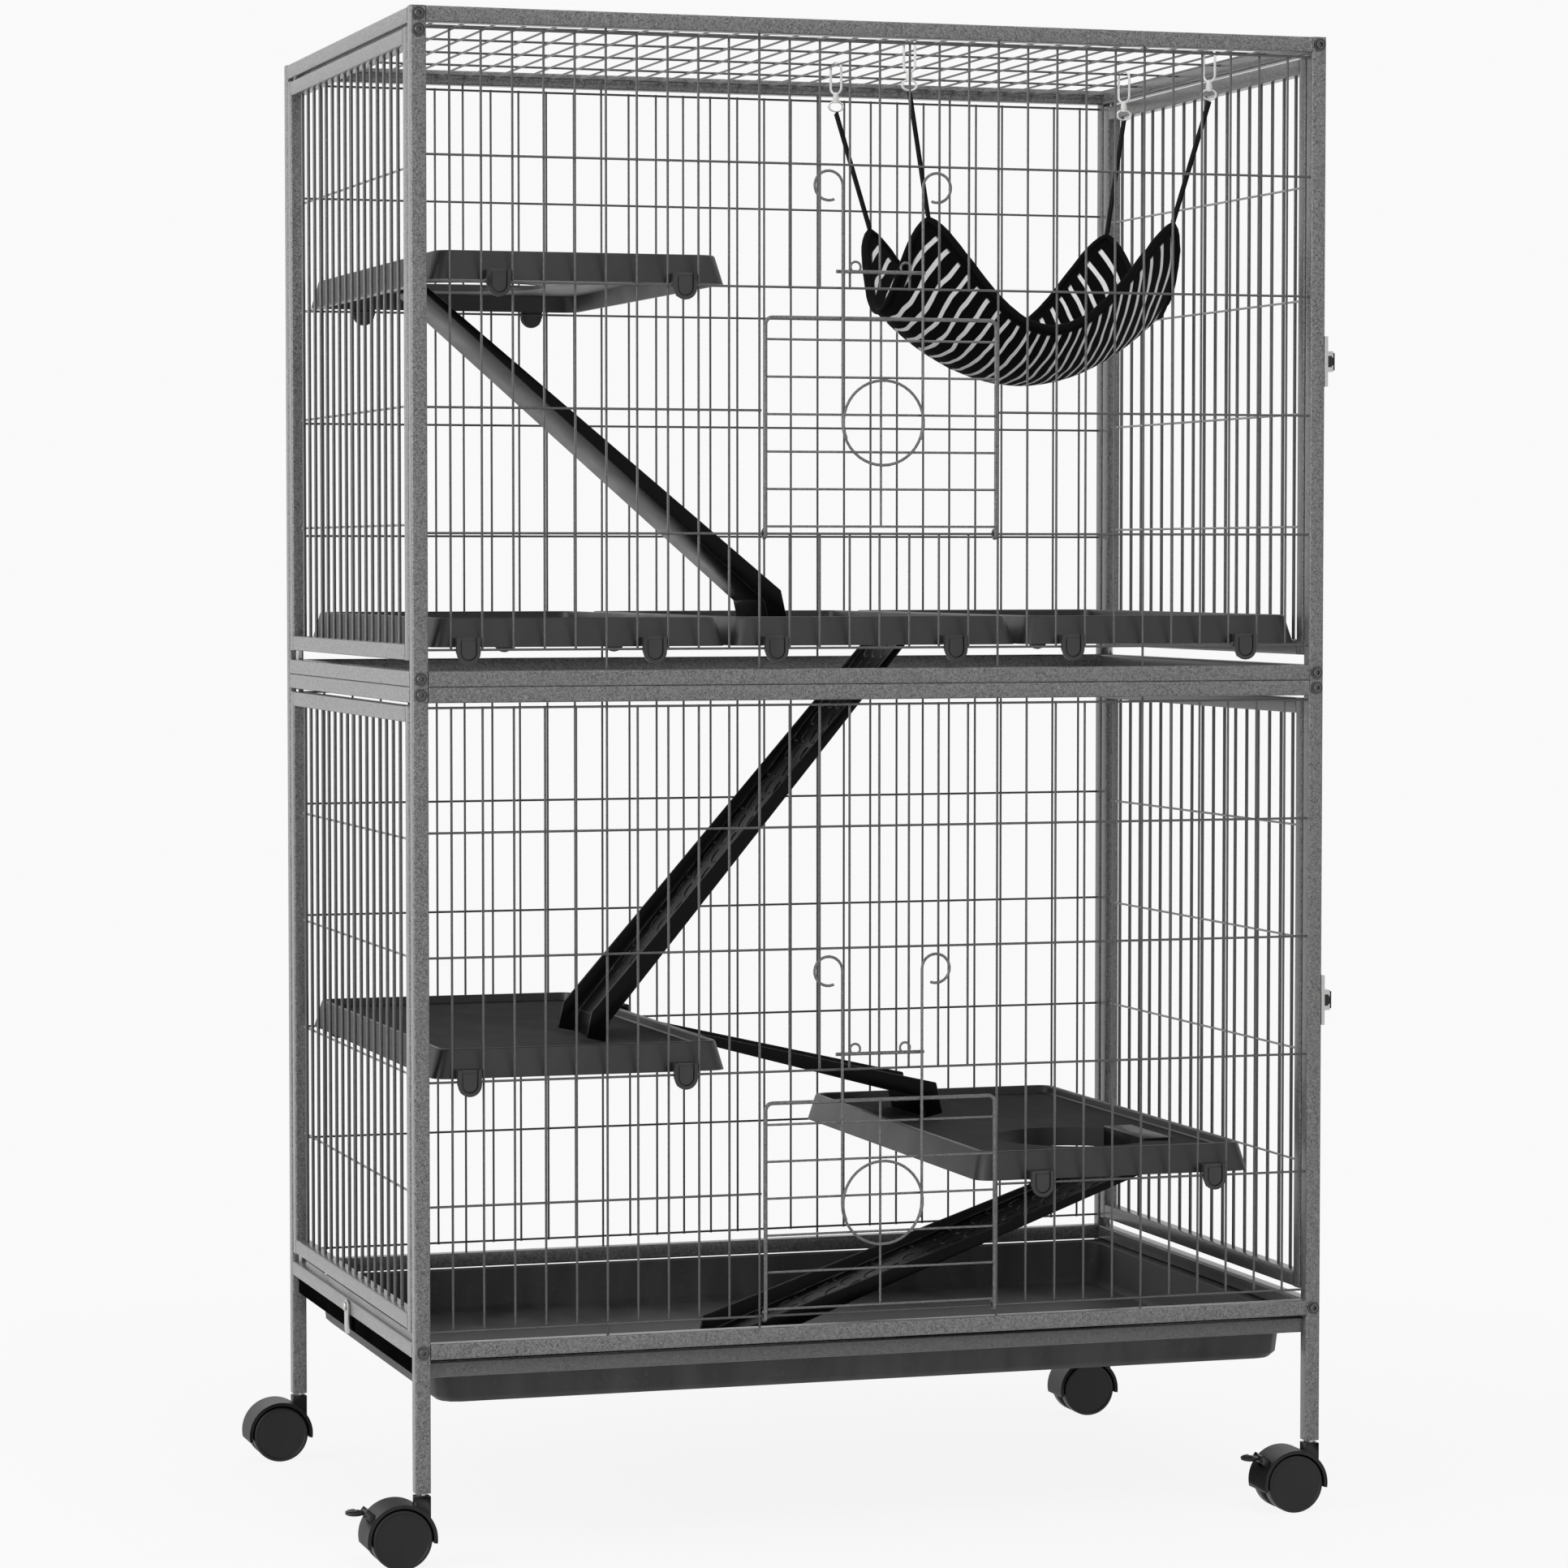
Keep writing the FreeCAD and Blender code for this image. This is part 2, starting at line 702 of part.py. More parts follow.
def ramp(edge_x, seat_z, lip, drop, foot_x, foot_z, y, way):
    """A channel with walls that grow towards the bent foot, hooked over an edge at its top."""
    run = abs(foot_x - edge_x)
    seat = seat_z + ramp_seat_gap
    start = V(ramp_edge_gap, 0, seat_z - drop)
    bend = V(run - ramp_foot_lean, 0, foot_z + ramp_foot_height)
    foot = V(run, 0, foot_z + ramp_seat_gap)
    path = [V(-lip, 0, seat), V(ramp_edge_gap, 0, seat), start, bend, foot]
    plate = path + list(reversed(offset_points(path, [ramp_plate] * len(path))))
    wall_line = [start, bend, foot]
    heights = [ramp_plate + h for h in (ramp_wall_top, ramp_wall_foot, ramp_wall_foot)]
    wall = wall_line + list(reversed(offset_points(wall_line, heights)))
    half = ramp_width / 2
    tread = prism([p.add(V(0, -half, 0)) for p in plate], V(0, ramp_width, 0))
    walls = [prism([p.add(V(0, low, 0)) for p in wall], V(0, ramp_plate, 0))
             for low in (-half, half - ramp_plate)]
    solid = tread.multiFuse(walls).removeSplitter()
    if way < 0:
        solid = solid.mirror(V(0, 0, 0), ALONG_X)
    solid.translate(V(edge_x, y, 0))
    return solid


def ramps():
    """Three ramps from the round holes of shelves and one from the edge of the lower left shelf."""
    chord = math.sqrt(shelf_hole ** 2 - ramp_width ** 2) / 2 - ramp_edge_gap
    deck = shelf_lift + deck_lift
    upper_deck = upper_rows[2] + deck
    mid_deck = upper_rows[5] + deck
    left_deck = lower_rows[3] + deck
    right_deck = lower_rows[4] + deck
    near = -hole_shift_y
    save("upper_ramp", [ramp(-shelf_x - hole_shift_x - chord, upper_deck, ramp_lip, ramp_riser,
                             upper_ramp_foot_shift, mid_deck, hole_shift_y, 1)])
    save("middle_ramp", [ramp(hole_shift_x + chord, mid_deck, ramp_lip, ramp_riser,
                              -shelf_x + middle_ramp_foot_shift, left_deck, near, -1)])
    save("bridge_ramp", [ramp(-shelf_x + shelf_width / 2, left_deck + shelf_recess,
                              bridge_ramp_lip + shelf_flare, shelf_recess + ramp_riser,
                              lower_right_shelf_x + bridge_ramp_foot_shift, right_deck, bridge_ramp_y, 1)])
    save("lower_ramp", [ramp(lower_right_shelf_x + hole_shift_x + chord, right_deck, ramp_lip,
                             lower_ramp_drop, lower_ramp_foot_x, tray_floor_z + tray_wall, near, -1)])


def tray():
    """A tapered tray with a flange on the runners and a turned-down lip at each end."""
    flange_low = runner_top + flange_gap
    flange_high = flange_low + flange_thick

    def ring(inset, z):
        lean = inset + tray_taper * (flange_high - z) / (flange_high - tray_floor_z)
        return rounded_rectangle(tray_length - 2 * lean, tray_depth - 2 * lean, tray_corner - inset, z)

    bend = tray_floor_z + tray_bottom_round
    outer = [ring(tray_bottom_round, tray_floor_z), ring(0, bend), ring(0, flange_high)]
    inner = [ring(tray_wall + tray_bottom_round, tray_floor_z + tray_wall),
             ring(tray_wall, bend + tray_wall), ring(tray_wall, flange_high + over)]
    body = Part.makeLoft(outer, True, True)
    inside = Part.makeLoft(inner, True, True)
    end_x = half_width - flange_end_gap
    side_y = inner_y - flange_side_gap
    flange = block(-end_x, -side_y, flange_low, end_x, side_y, flange_high)
    lip_y = runner_y - tube / 2 - lip_side_gap
    lips = [block(s * end_x, -lip_y, flange_low - lip_drop, s * (end_x - flange_thick), lip_y, flange_low)
            for s in (-1, 1)]
    save("tray", [flange.multiFuse([body] + lips).cut(inside).removeSplitter()])


def tray_lock():
    """A round-ended tab that turns on a rivet in the left base rail."""
    near = -half_width - tab_gap
    far = near - tab_thick
    half = tab_width / 2
    pivot = V(far, 0, base_top - tab_pivot_drop)
    low = pivot.sub(V(0, 0, tab_length - tab_width))
    outline = arc_points(pivot, ALONG_Y, ALONG_Z, half, 0, 180, bend_step / 2)
    outline += arc_points(low, V(0, -1, 0), V(0, 0, -1), half, 0, 180, bend_step / 2)
    plate = prism(outline, V(tab_thick, 0, 0))
    hole = bore(pivot.sub(V(over, 0, 0)), pivot.add(V(tab_thick + over, 0, 0)), rivet / 2 + pin_play, ALONG_Z)
    save("tray_lock_tab", [plate.cut(hole)])
    head = V(far - tab_gap, 0, pivot.z)
    shank = shaft(head, V(-half_width, 0, pivot.z), rivet / 2, ALONG_Z)
    cap = shaft(head.sub(V(rivet_head_height, 0, 0)), head, rivet_head / 2, ALONG_Z)
    save("tray_lock_rivet", [shank.fuse(cap)])


def wheel_ring(radius, y):
    """A closed outline about the wheel's axle."""
    centre = V(-caster_trail, y, wheel_radius)
    points = arc_points(centre, ALONG_X, ALONG_Z, radius, 0, 360, 360 / wheel_sides)
    return Part.makePolygon(points[:-1] + [points[0]])


def wheel_set():
    """Two wheels with broken edges and dished faces on one axle."""
    near = web_thick / 2 + web_gap
    far = near + wheel_width
    edge = wheel_radius - wheel_chamfer
    solids = []
    for s in (-1, 1):
        rings = [wheel_ring(wheel_radius, s * near), wheel_ring(wheel_radius, s * (far - wheel_chamfer)),
                 wheel_ring(edge, s * far)]
        dish = Part.makeLoft([wheel_ring(edge - wheel_rim, s * (far + over)),
                              wheel_ring(edge - wheel_rim, s * (far - wheel_dish))], True, True)
        solids.append(Part.makeLoft(rings, True, True).cut(dish))
    end = V(-caster_trail, near + wheel_chamfer, wheel_radius)
    axle = shaft(V(end.x, -end.y, end.z), end, axle_radius, ALONG_Z)
    return axle.multiFuse(solids)


def around_axle(radius, angle):
    """A point about the wheel's axle, the angle from +X upwards in degrees."""
    turn = math.radians(angle)
    return V(-caster_trail + radius * math.cos(turn), 0, wheel_radius + radius * math.sin(turn))


def curved_wall(inner, outer, width):
    """A wall about the wheel's axle over the hood's turn."""
    centre = V(-caster_trail, -width / 2, wheel_radius)
    end = hood_start + hood_turn
    outline = arc_points(centre, ALONG_X, ALONG_Z, outer, hood_start, hood_turn, hood_step)
    outline += arc_points(centre, ALONG_X, ALONG_Z, inner, end, -hood_turn, hood_step)
    return prism(outline, V(0, width, 0))


def lever_pivot():
    """The brake lever's pivot, just outside the hood."""
    return around_axle(hood_outer + lever_gap + lever_boss_radius, lever_angle)


def brake_ears():
    """Two ears on the hood and the pin between them."""
    pivot = lever_pivot()
    root = around_axle(hood_inner + hood_thick / 2, lever_angle)
    reach = pivot.sub(root).Length + lever_pin_radius + lever_ear
    pieces = []
    for s in (-1, 1):
        ear = block(-lever_boss_radius, s * (lever_width / 2 + lever_gap), 0,
                    lever_boss_radius, s * (lever_width / 2 + lever_gap + lever_ear), reach)
        ear.rotate(V(0, 0, 0), ALONG_Y, 90 - lever_angle)
        ear.translate(root)
        pieces.append(ear)
    half = lever_width / 2 + lever_gap + lever_ear / 2
    pieces.append(shaft(V(pivot.x, -half, pivot.z), V(pivot.x, half, pivot.z), lever_pin_radius, ALONG_Z))
    return pieces


def caster_housing(braked):
    """A hood over both wheels, a web between them and a neck for the stem."""
    hood = curved_wall(hood_inner, hood_outer, caster_width)
    web = curved_wall(axle_radius + axle_play, hood_inner + hood_thick / 2, web_thick)
    half = neck_width / 2
    neck = block(-half, -half, neck_foot, half, half, neck_top)
    room = Part.makeLoft([wheel_ring(hood_inner, s * (half + over)) for s in (-1, 1)], True, True)
    pieces = [web, neck.cut(room)] + (brake_ears() if braked else [])
    socket = bore(V(0, 0, neck_top - stem_reach), V(0, 0, neck_top + over), stem_radius + stem_play, ALONG_X)
    return hood.multiFuse(pieces).cut(socket).removeSplitter()


def brake_lever():
    """A foot lever with cross ridges on its end."""
    pivot = lever_pivot()
    half = lever_width / 2
    pad_end = pivot.x - lever_length
    top = pivot.z + lever_thick
    step = lever_length / 2 / lever_ridge_count
    outline = [V(pivot.x, -half, top), V(pivot.x, -half, pivot.z), V(pad_end, -half, pivot.z)]
    for i in range(lever_ridge_count):
        near = pad_end + i * step
        outline += [V(near, -half, top), V(near + step / 2, -half, top + lever_ridge)]
    outline.append(V(pad_end + lever_ridge_count * step, -half, top))
    pad = prism(outline, V(0, lever_width, 0))
    side = V(pivot.x, -half, pivot.z)
    boss = shaft(side, V(pivot.x, half, pivot.z), lever_boss_radius, ALONG_Z)
    hole = bore(side.sub(V(0, over, 0)), V(pivot.x, half + over, pivot.z),
                lever_pin_radius + lever_pin_play, ALONG_Z)
    return pad.fuse(boss).cut(hole).removeSplitter()


def caster_stem():
    """A plug in the post, a collar under it and a stem into the caster's neck."""
    half = hollow / 2 - plug_play
    plug = block(-half, -half, leg_lift, half, half, leg_lift + stem_plug_height)
    under = leg_lift - stem_collar_height
    collar = rod(V(0, 0, under), V(0, 0, leg_lift), stem_collar, ALONG_X, stem_collar_sides)
    stem = shaft(V(0, 0, under - stem_reach), V(0, 0, under), stem_radius, ALONG_X)
    return plug.multiFuse([collar, stem])


def casters():
    """Four twin-wheel casters, the front two with brakes."""
    stems = []
    for name, sx, sy in corners:
        place = V(sx * post_x, sy * post_y, 0)
        save("caster_housing_" + name, [caster_housing(sy < 0).translated(place)])
        save("caster_wheels_" + name, [wheel_set().translated(place)])
        if sy < 0:
            save("brake_lever_" + name, [brake_lever().translated(place)])
        stems.append(caster_stem().translated(place))
    save("caster_stems", stems)


def net_solid(triangles, places, lift):
    """A thin solid between a net of triangles and the same net lifted."""
    edges = {(t[k - 1], t[k]) for t in triangles for k in range(3)}
    outlines = []
    for triangle in triangles:
        under = [places[key] for key in triangle]
        outlines += [under[::-1], [p.add(lift) for p in under]]
    for first, last in sorted(e for e in edges if e[::-1] not in edges):
        a, b = places[first], places[last]
        outlines.append([a, b, b.add(lift), a.add(lift)])
    shell = Part.makeShell([Part.Face(Part.makePolygon(points + [points[0]])) for points in outlines])
    shell.sewShape()
    return Part.makeSolid(shell)


def hammock_point(middle, u, v):
    """A point of the hung cloth, for shares of its half length and half width."""
    fall = 1 - u * u
    dip = 1 - v * v
    edge = hammock_corner_z - hammock_edge_sag * fall
    low = hammock_corner_z - hammock_end_sag - (hammock_middle_sag - hammock_end_sag) * fall
    return V(middle.x + u * (hammock_length / 2 + hammock_end_bow * dip),
             middle.y + v * (hammock_width / 2 - hammock_waist * fall), edge + (low - edge) * dip)


def hammock_tip(middle, sx, sy):
    """The middle of a cut corner of the cloth."""
    long_cells, wide_cells = hammock_cell_counts
    beside = hammock_point(middle, sx * (1 - 2 / long_cells), sy)
    below = hammock_point(middle, sx, sy * (1 - 2 / wide_cells))
    return beside.add(below).multiply(0.5)


def hammock_sheet(middle):
    """Hung cloth as a net of flat triangles with cut corners, lowest in the middle."""
    long_cells, wide_cells = hammock_cell_counts
    places = {(i, j): hammock_point(middle, 2 * i / long_cells - 1, 2 * j / wide_cells - 1)
              for i in range(long_cells + 1) for j in range(wide_cells + 1)}
    triangles = []
    for i in range(long_cells):
        for j in range(wide_cells):
            ring = [(i, j), (i + 1, j), (i + 1, j + 1), (i, j + 1)]
            inner = [key for key in ring if key[0] % long_cells or key[1] % wide_cells]
            if len(inner) < len(ring):
                triangles.append(inner)
            else:
                triangles += [ring[:3], [ring[0], ring[2], ring[3]]]
    return net_solid(triangles, places, V(0, 0, hammock_thick))


def snap_hook(x, y):
    """A long loop over a roof wire with a gate in one side, and a small eye below for the strap."""
    top = upper_ceiling + tube / 2 + row_offset + wire / 2 + hook_wire_gap + hook_wire / 2
    half = (hook_width - hook_wire) / 2
    high = V(x, y, top - half)
    low = V(x, y, top + hook_wire - hook_length + half)
    turn = math.radians(hook_turn)
    across = V(-math.sin(turn), math.cos(turn), 0)
    facing = V(math.cos(turn), math.sin(turn), 0)
    side = V(across).multiply(half)
    gate = V(0, 0, (high.z + low.z) / 2)
    ajar = V(0, 0, hook_gate / 2)
    path = [V(x, y, 0).add(side).add(gate).add(ajar)]
    path += arc_points(high, across, ALONG_Z, half, 0, 180)
    path += arc_points(low, across, ALONG_Z, half, 180, 180)
    path.append(V(x, y, 0).add(side).add(gate).sub(ajar))
    eye_radius = (hook_eye - hook_wire) / 2
    eye = V(x, y, low.z - half - 2 * corner_reach(hook_wire) - weld_gap - eye_radius)
    ring = arc_points(eye, ALONG_Z, ALONG_X, eye_radius, 90 + eye_gate_angle / 2, 360 - eye_gate_angle)
    seat = eye.sub(V(0, 0, eye_radius + corner_reach(hook_wire) + strap_gap))
    return [bent_wire(path, hook_wire, facing), bent_wire(ring, hook_wire, ALONG_Y)], seat


def strap(start, end):
    """A flat band between two points, its width along the cage's depth."""
    run = end.sub(start)
    band = Part.makeBox(strap_thick, strap_width, run.Length, V(-strap_thick / 2, -strap_width / 2, 0))
    band.Placement = FreeCAD.Placement(start, FreeCAD.Rotation(ALONG_Z, run))
    return band


def hammock():
    """The cloth, its four straps and their hooks on wires of the roof."""
    hook_columns = [columns_each_side - share for share in hook_column_shares]
    middle = V(sum(hook_columns) / 2 * wire_pitch, sum(hook_row_shares) / 2 * roof_row_pitch, 0)
    save("hammock", [hammock_sheet(middle)])
    straps = []
    hooks = []
    for sx, column in zip((-1, 1), hook_columns):
        for sy, row in zip((-1, 1), hook_row_shares):
            loops, seat = snap_hook(column * wire_pitch, row * roof_row_pitch)
            hooks += loops
            corner = hammock_tip(middle, sx, sy).add(V(0, 0, hammock_thick))
            pull = seat.sub(corner).normalize()
            straps.append(strap(corner.add(V(pull).multiply(strap_gap)), seat))
    save("hammock_straps", straps)
    save("snap_hooks", hooks)


os.makedirs("parts", exist_ok=True)
posts()
rails()
tray_runners()
wire_walls()
sides()
front_doors()
side_latches()
shelves()
ramps()
tray()
tray_lock()
casters()
hammock()
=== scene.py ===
"""Looks of a two-storey rolling wire cage: round wires, tubes with soft edges, moulded plastic and hung cloth."""
import json
import math

import bmesh
import bpy
from bpy.props import FloatProperty, FloatVectorProperty, IntProperty, PointerProperty
from bpy.types import Operator, Panel, PropertyGroup
from mathutils import Matrix, Vector


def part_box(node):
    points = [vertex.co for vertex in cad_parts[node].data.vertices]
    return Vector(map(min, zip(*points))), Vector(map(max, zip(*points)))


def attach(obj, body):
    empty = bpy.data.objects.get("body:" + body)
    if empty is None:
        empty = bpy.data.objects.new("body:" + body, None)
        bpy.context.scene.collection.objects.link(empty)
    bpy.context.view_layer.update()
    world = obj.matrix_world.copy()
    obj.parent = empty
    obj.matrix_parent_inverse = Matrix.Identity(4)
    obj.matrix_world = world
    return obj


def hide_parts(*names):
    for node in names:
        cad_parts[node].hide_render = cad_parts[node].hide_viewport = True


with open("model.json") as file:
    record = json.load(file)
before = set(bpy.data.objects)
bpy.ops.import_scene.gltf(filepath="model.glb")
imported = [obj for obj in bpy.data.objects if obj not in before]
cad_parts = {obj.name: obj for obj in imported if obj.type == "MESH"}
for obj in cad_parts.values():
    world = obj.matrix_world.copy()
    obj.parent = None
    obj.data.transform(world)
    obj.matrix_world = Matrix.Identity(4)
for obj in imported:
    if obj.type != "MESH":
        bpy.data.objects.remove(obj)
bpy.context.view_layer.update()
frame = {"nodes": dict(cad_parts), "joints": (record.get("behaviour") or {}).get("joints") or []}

bl_info = {
    "name": "Wire Cage Looks",
    "version": (1, 0, 0),
    "blender": (4, 5, 0),
    "location": "View3D > Sidebar > Cage",
    "description": "Builds the visible pieces of a rolling wire cage around its frame",
    "category": "Object",
}

NODES = frame["nodes"]
CAGE = "cage"
RIGHT = Vector((1, 0, 0))
BACK = Vector((0, 1, 0))
UP = Vector((0, 0, 1))
CORNERS = {"front_left": (-1, -1), "front_right": (1, -1), "rear_left": (-1, 1), "rear_right": (1, 1)}
POST_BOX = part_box("post_front_left")
POST_X = -(POST_BOX[0].x + POST_BOX[1].x) / 2
MERGE = 1e-6

# Soft edges
FINE_EDGE = 0.0004
SMALL_EDGE = 0.0005
CAP_EDGE = 0.0006
HOOD_EDGE = 0.0007
TRAY_EDGE = 0.0008
RAMP_EDGE = 0.0009

# Turn of a hinge eye and its steps, in degrees
LOOP_TURN = 315.0
LOOP_STEP = 20.0

# Wheels
WHEEL_WIDTH = 0.013
TREAD_EDGE = 0.0022
DISH_DEPTH = 0.0006
AXLE_RADIUS = 0.003

# Stripes and hem on the flat cloth
STRIPE_PITCH = 0.0138
STRIPE_SWAY = 0.0025
BACK_SLANT = 0.40
FRONT_SLANT = 0.18
HEM = (0.008, 0.010)

# Settling of the cloth
HELD_POINTS = 36
SETTLE_FRAMES = 16

# Stage
PAPER_WHITE = (0.95, 0.95, 0.95, 1.0)
SOFT_LIGHT = 0.42
LAMP_AIM = Vector((0, 0, 0.65))
LAMPS = {"key": ((-3.2, -0.6, 1.7), 2.6, 95.0), "fill": ((0.4, -2.6, 3.6), 1.4, 62.0),
         "top": ((0.0, 0.2, 3.6), 2.4, 30.0)}
EYE_PLACE = (-1.2725, -4.0189, 0.8203)
EYE_YAW = math.radians(17.494)
EYE_PITCH = math.radians(2.687)
EYE_LENS = 109.5


def length(name, description, default):
    """A size in metres that a user may change."""
    return FloatProperty(name=name, description=description, default=default, min=0.0, precision=5, unit="LENGTH")


def colour(name, description, default):
    """A colour that a user may change."""
    return FloatVectorProperty(name=name, description=description, default=default, size=3, min=0.0, max=1.0,
                               subtype="COLOR")


class CageSizes(PropertyGroup):
    """Sizes of the pieces that are modelled here."""

    facets: IntProperty(name="Wire Facets", description="Sides of a round wire", default=10, min=6, max=24)
    tube_corner: length("Tube Corner", "Radius of the tubes' long edges", 0.0017)
    tube_wall: length("Tube Wall", "Wall of the square tubes", 0.0012)
    tube_depth: length("Tube Depth", "How far the tubes are hollowed from their ends", 0.02)
    door_wire: length("Door Wire", "Thickness of a front door's frame wire", 0.0033)
    door_half: length("Door Half Width", "From the door's middle to its frame wire", 0.10124)
    door_height: length("Door Height", "From the hinge wire to the top of the door", 0.1782)
    door_corner: length("Door Corner", "Bend of the door's upper corners", 0.006)
    loop_radius: length("Hinge Eye", "Radius of the eyes round the hinge wire", 0.00335)
    bar_wire: length("Bar Wire", "Thickness of thin wires", 0.002)
    latch_wire: length("Latch Wire", "Thickness of the spring latch", 0.0024)
    latch_ring: length("Latch Ring", "Radius of the latch's ring", 0.0351)
    latch_ring_lift: length("Latch Ring Lift", "From the hinge wire to the ring's middle", 0.092)
    curl_radius: length("Latch Curl", "Radius of the curls at the latch's ends", 0.0122)
    curl_top: length("Latch Height", "From the hinge wire to the top of the curls", 0.2995)
    keeper_eye: length("Keeper Eye", "Radius of the eyes on a keeper bar", 0.0044)
    shelf_wall: length("Shelf Wall", "Wall of a moulded shelf", 0.0025)
    shelf_flare: length("Shelf Flare", "How far a shelf's skirt leans in towards its top", 0.006)
    shelf_corner: length("Shelf Corner", "Radius of a shelf's corners", 0.014)
    shelf_rim: length("Shelf Rim", "Width of the rim round the deck", 0.004)
    shelf_recess: length("Shelf Recess", "How deep the deck lies under the rim", 0.0075)
    shelf_round: length("Shelf Edge", "Radius of a shelf's rim edges", 0.0014)
    shelf_hole: length("Shelf Hole", "Diameter of a ramp hole", 0.14)
    collar: length("Hole Collar", "Depth of the collar round the top shelf's hole", 0.003)
    hole_x: length("Hole Shift Across", "From the shelf's middle to the hole, sideways", 0.015)
    hole_y: length("Hole Shift Along", "From the shelf's middle to the hole, in depth", 0.1)
    clip_rim: length("Clip Rim", "Width of the raised rim on a clip", 0.003)
    clip_proud: length("Clip Rim Height", "How far the rim stands proud", 0.0016)
    clip_groove: length("Clip Groove", "Width of the groove inside the rim", 0.0012)
    cleat_radius: length("Cleat Radius", "Radius of the curved cleats on a ramp", 0.0105)
    cleat_height: length("Cleat Height", "How far the cleats stand proud", 0.0008)
    cleat_pitch: length("Cleat Pitch", "From one row of cleats to the next", 0.019)
    hood_inner: length("Hood Inner Radius", "Inner radius of a caster's hood", 0.0262)
    hood_outer: length("Hood Outer Radius", "Outer radius of a caster's hood", 0.0292)
    lever_boss: length("Lever Boss", "Radius of a brake lever's boss", 0.0034)
    lever_leaf: length("Lever Leaf", "Length of a brake lever's leaf", 0.0165)
    bolt_head: length("Bolt Head", "Diameter of the frame bolts' heads", 0.0108)
    bolt_height: length("Bolt Height", "Height of the frame bolts' heads", 0.0026)
    hammock_thick: length("Cloth Thickness", "Thickness of the hammock's plush", 0.0022)
    hammock_length: length("Hammock Length", "From end to end of the hung sheet", 0.242)
    hammock_width: length("Hammock Width", "From edge to edge of the hung sheet", 0.184)
    hammock_sag: length("Hammock Sag", "From the line of the corners down to the middle", 0.1865)
    edge_sag: length("Edge Sag", "How far the long edges sag", 0.1405)
    end_sag: length("End Sag", "How far the ends sag", 0.1235)
    end_bow: length("End Bow", "How far the ends bow out", 0.010)
    waist: length("Waist", "How far the long edges draw in", 0.010)
    binding: length("Binding", "Radius of the bound edge of the hammock", 0.0029)
    hook_wire: length("Hook Wire", "Thickness of a snap hook", 0.0022)
    ring_flat: FloatProperty(name="Ring Flatness", description="Height of a hook's ring to its width", default=0.68,
                             min=0.3, max=1.0)
    hook_half: length("Hook Half Width", "From a hook's middle to its side", 0.0055)


class CageColours(PropertyGroup):
    """Colours of the finishes."""

    frame_paint: colour("Frame Paint", "Light ground of the hammered paint", (0.20, 0.20, 0.198))
    frame_fleck: colour("Frame Fleck", "Dark flecks of the hammered paint", (0.042, 0.042, 0.042))
    wire_paint: colour("Wire Paint", "Paint on the wires", (0.085, 0.085, 0.084))
    door_paint: colour("Door Paint", "Paint on the small doors and their latches", (0.15, 0.15, 0.148))
    shelf_plastic: colour("Shelf Plastic", "Moulded shelves and clips", (0.014, 0.014, 0.014))
    ramp_plastic: colour("Ramp Plastic", "Moulded ramps", (0.0025, 0.0025, 0.0025))
    tray_plastic: colour("Tray Plastic", "Moulded tray", (0.032, 0.032, 0.032))
    caster_plastic: colour("Caster Plastic", "Casters and brake levers", (0.008, 0.008, 0.008))
    # Also the painted highlight along the ramps' wall edges and cleat ridges.
    rubbed_and_highlit_plastic: colour("Rubbed And Highlit Plastic", "Moulded edges where they are rubbed, and the painted highlight on ramp edges and cleats", (0.085, 0.085, 0.085))
    steel: colour("Bright Steel", "Latches and the tray's lock", (0.55, 0.55, 0.54))
    cloth: colour("Cloth", "Dark pile of the hammock", (0.0022, 0.0022, 0.0022))
    stripe: colour("Stripe", "Pale stripes of the hammock", (0.80, 0.80, 0.79))
    webbing: colour("Webbing", "Straps and bound edges", (0.0035, 0.0035, 0.0035))
    hook: colour("Hook", "Clear plastic of the snap hooks", (0.72, 0.72, 0.71))
    floor: colour("Floor", "Pale floor", (0.86, 0.86, 0.86))


def sizes():
    """The sizes as they are set."""
    return bpy.context.scene.cage_sizes


def colours():
    """The colours as they are set."""
    return bpy.context.scene.cage_colours


# Shader parts

def add_node(tree, kind, label="", **settings):
    """A shader node with its settings and unlinked inputs."""
    node = tree.nodes.new(kind)
    node.label = label
    for key, value in settings.items():
        if hasattr(node, key):
            setattr(node, key, value)
        else:
            node.inputs[key.replace("_", " ").title()].default_value = value
    return node


def new_group(name, inputs, outputs):
    """An empty shader group with float inputs and named outputs."""
    group = bpy.data.node_groups.new(name, "ShaderNodeTree")
    for label, default in inputs:
        socket = group.interface.new_socket(label, in_out="INPUT", socket_type="NodeSocketFloat")
        socket.default_value = default
    for label in outputs:
        group.interface.new_socket(label, in_out="OUTPUT", socket_type="NodeSocketFloat")
    return group, group.nodes.new("NodeGroupInput"), group.nodes.new("NodeGroupOutput")


def map_range(tree, value, low, high, to_low, to_high):
    """A value stretched from one range to another and held inside it."""
    node = add_node(tree, "ShaderNodeMapRange")
    node.inputs["From Min"].default_value = low
    node.inputs["From Max"].default_value = high
    node.inputs["To Min"].default_value = to_low
    node.inputs["To Max"].default_value = to_high
    tree.links.new(value, node.inputs["Value"])
    return node.outputs["Result"]


def math_node(tree, operation, first, second):
    """One sum of two values, each a socket or a number."""
    node = add_node(tree, "ShaderNodeMath", operation=operation)
    for socket, value in zip(node.inputs, (first, second)):
        if isinstance(value, (int, float)):
            socket.default_value = value
        else:
            tree.links.new(value, socket)
    return node.outputs["Value"]


def noise(tree, place, **settings):
    """A noise over a place."""
    node = add_node(tree, "ShaderNodeTexNoise", **settings)
    tree.links.new(place, node.inputs["Vector"])
    return node


def give(group, result, **values):
    """Links values to the outputs of a shader group."""
    for key, value in values.items():
        group.links.new(value, result.inputs[key])


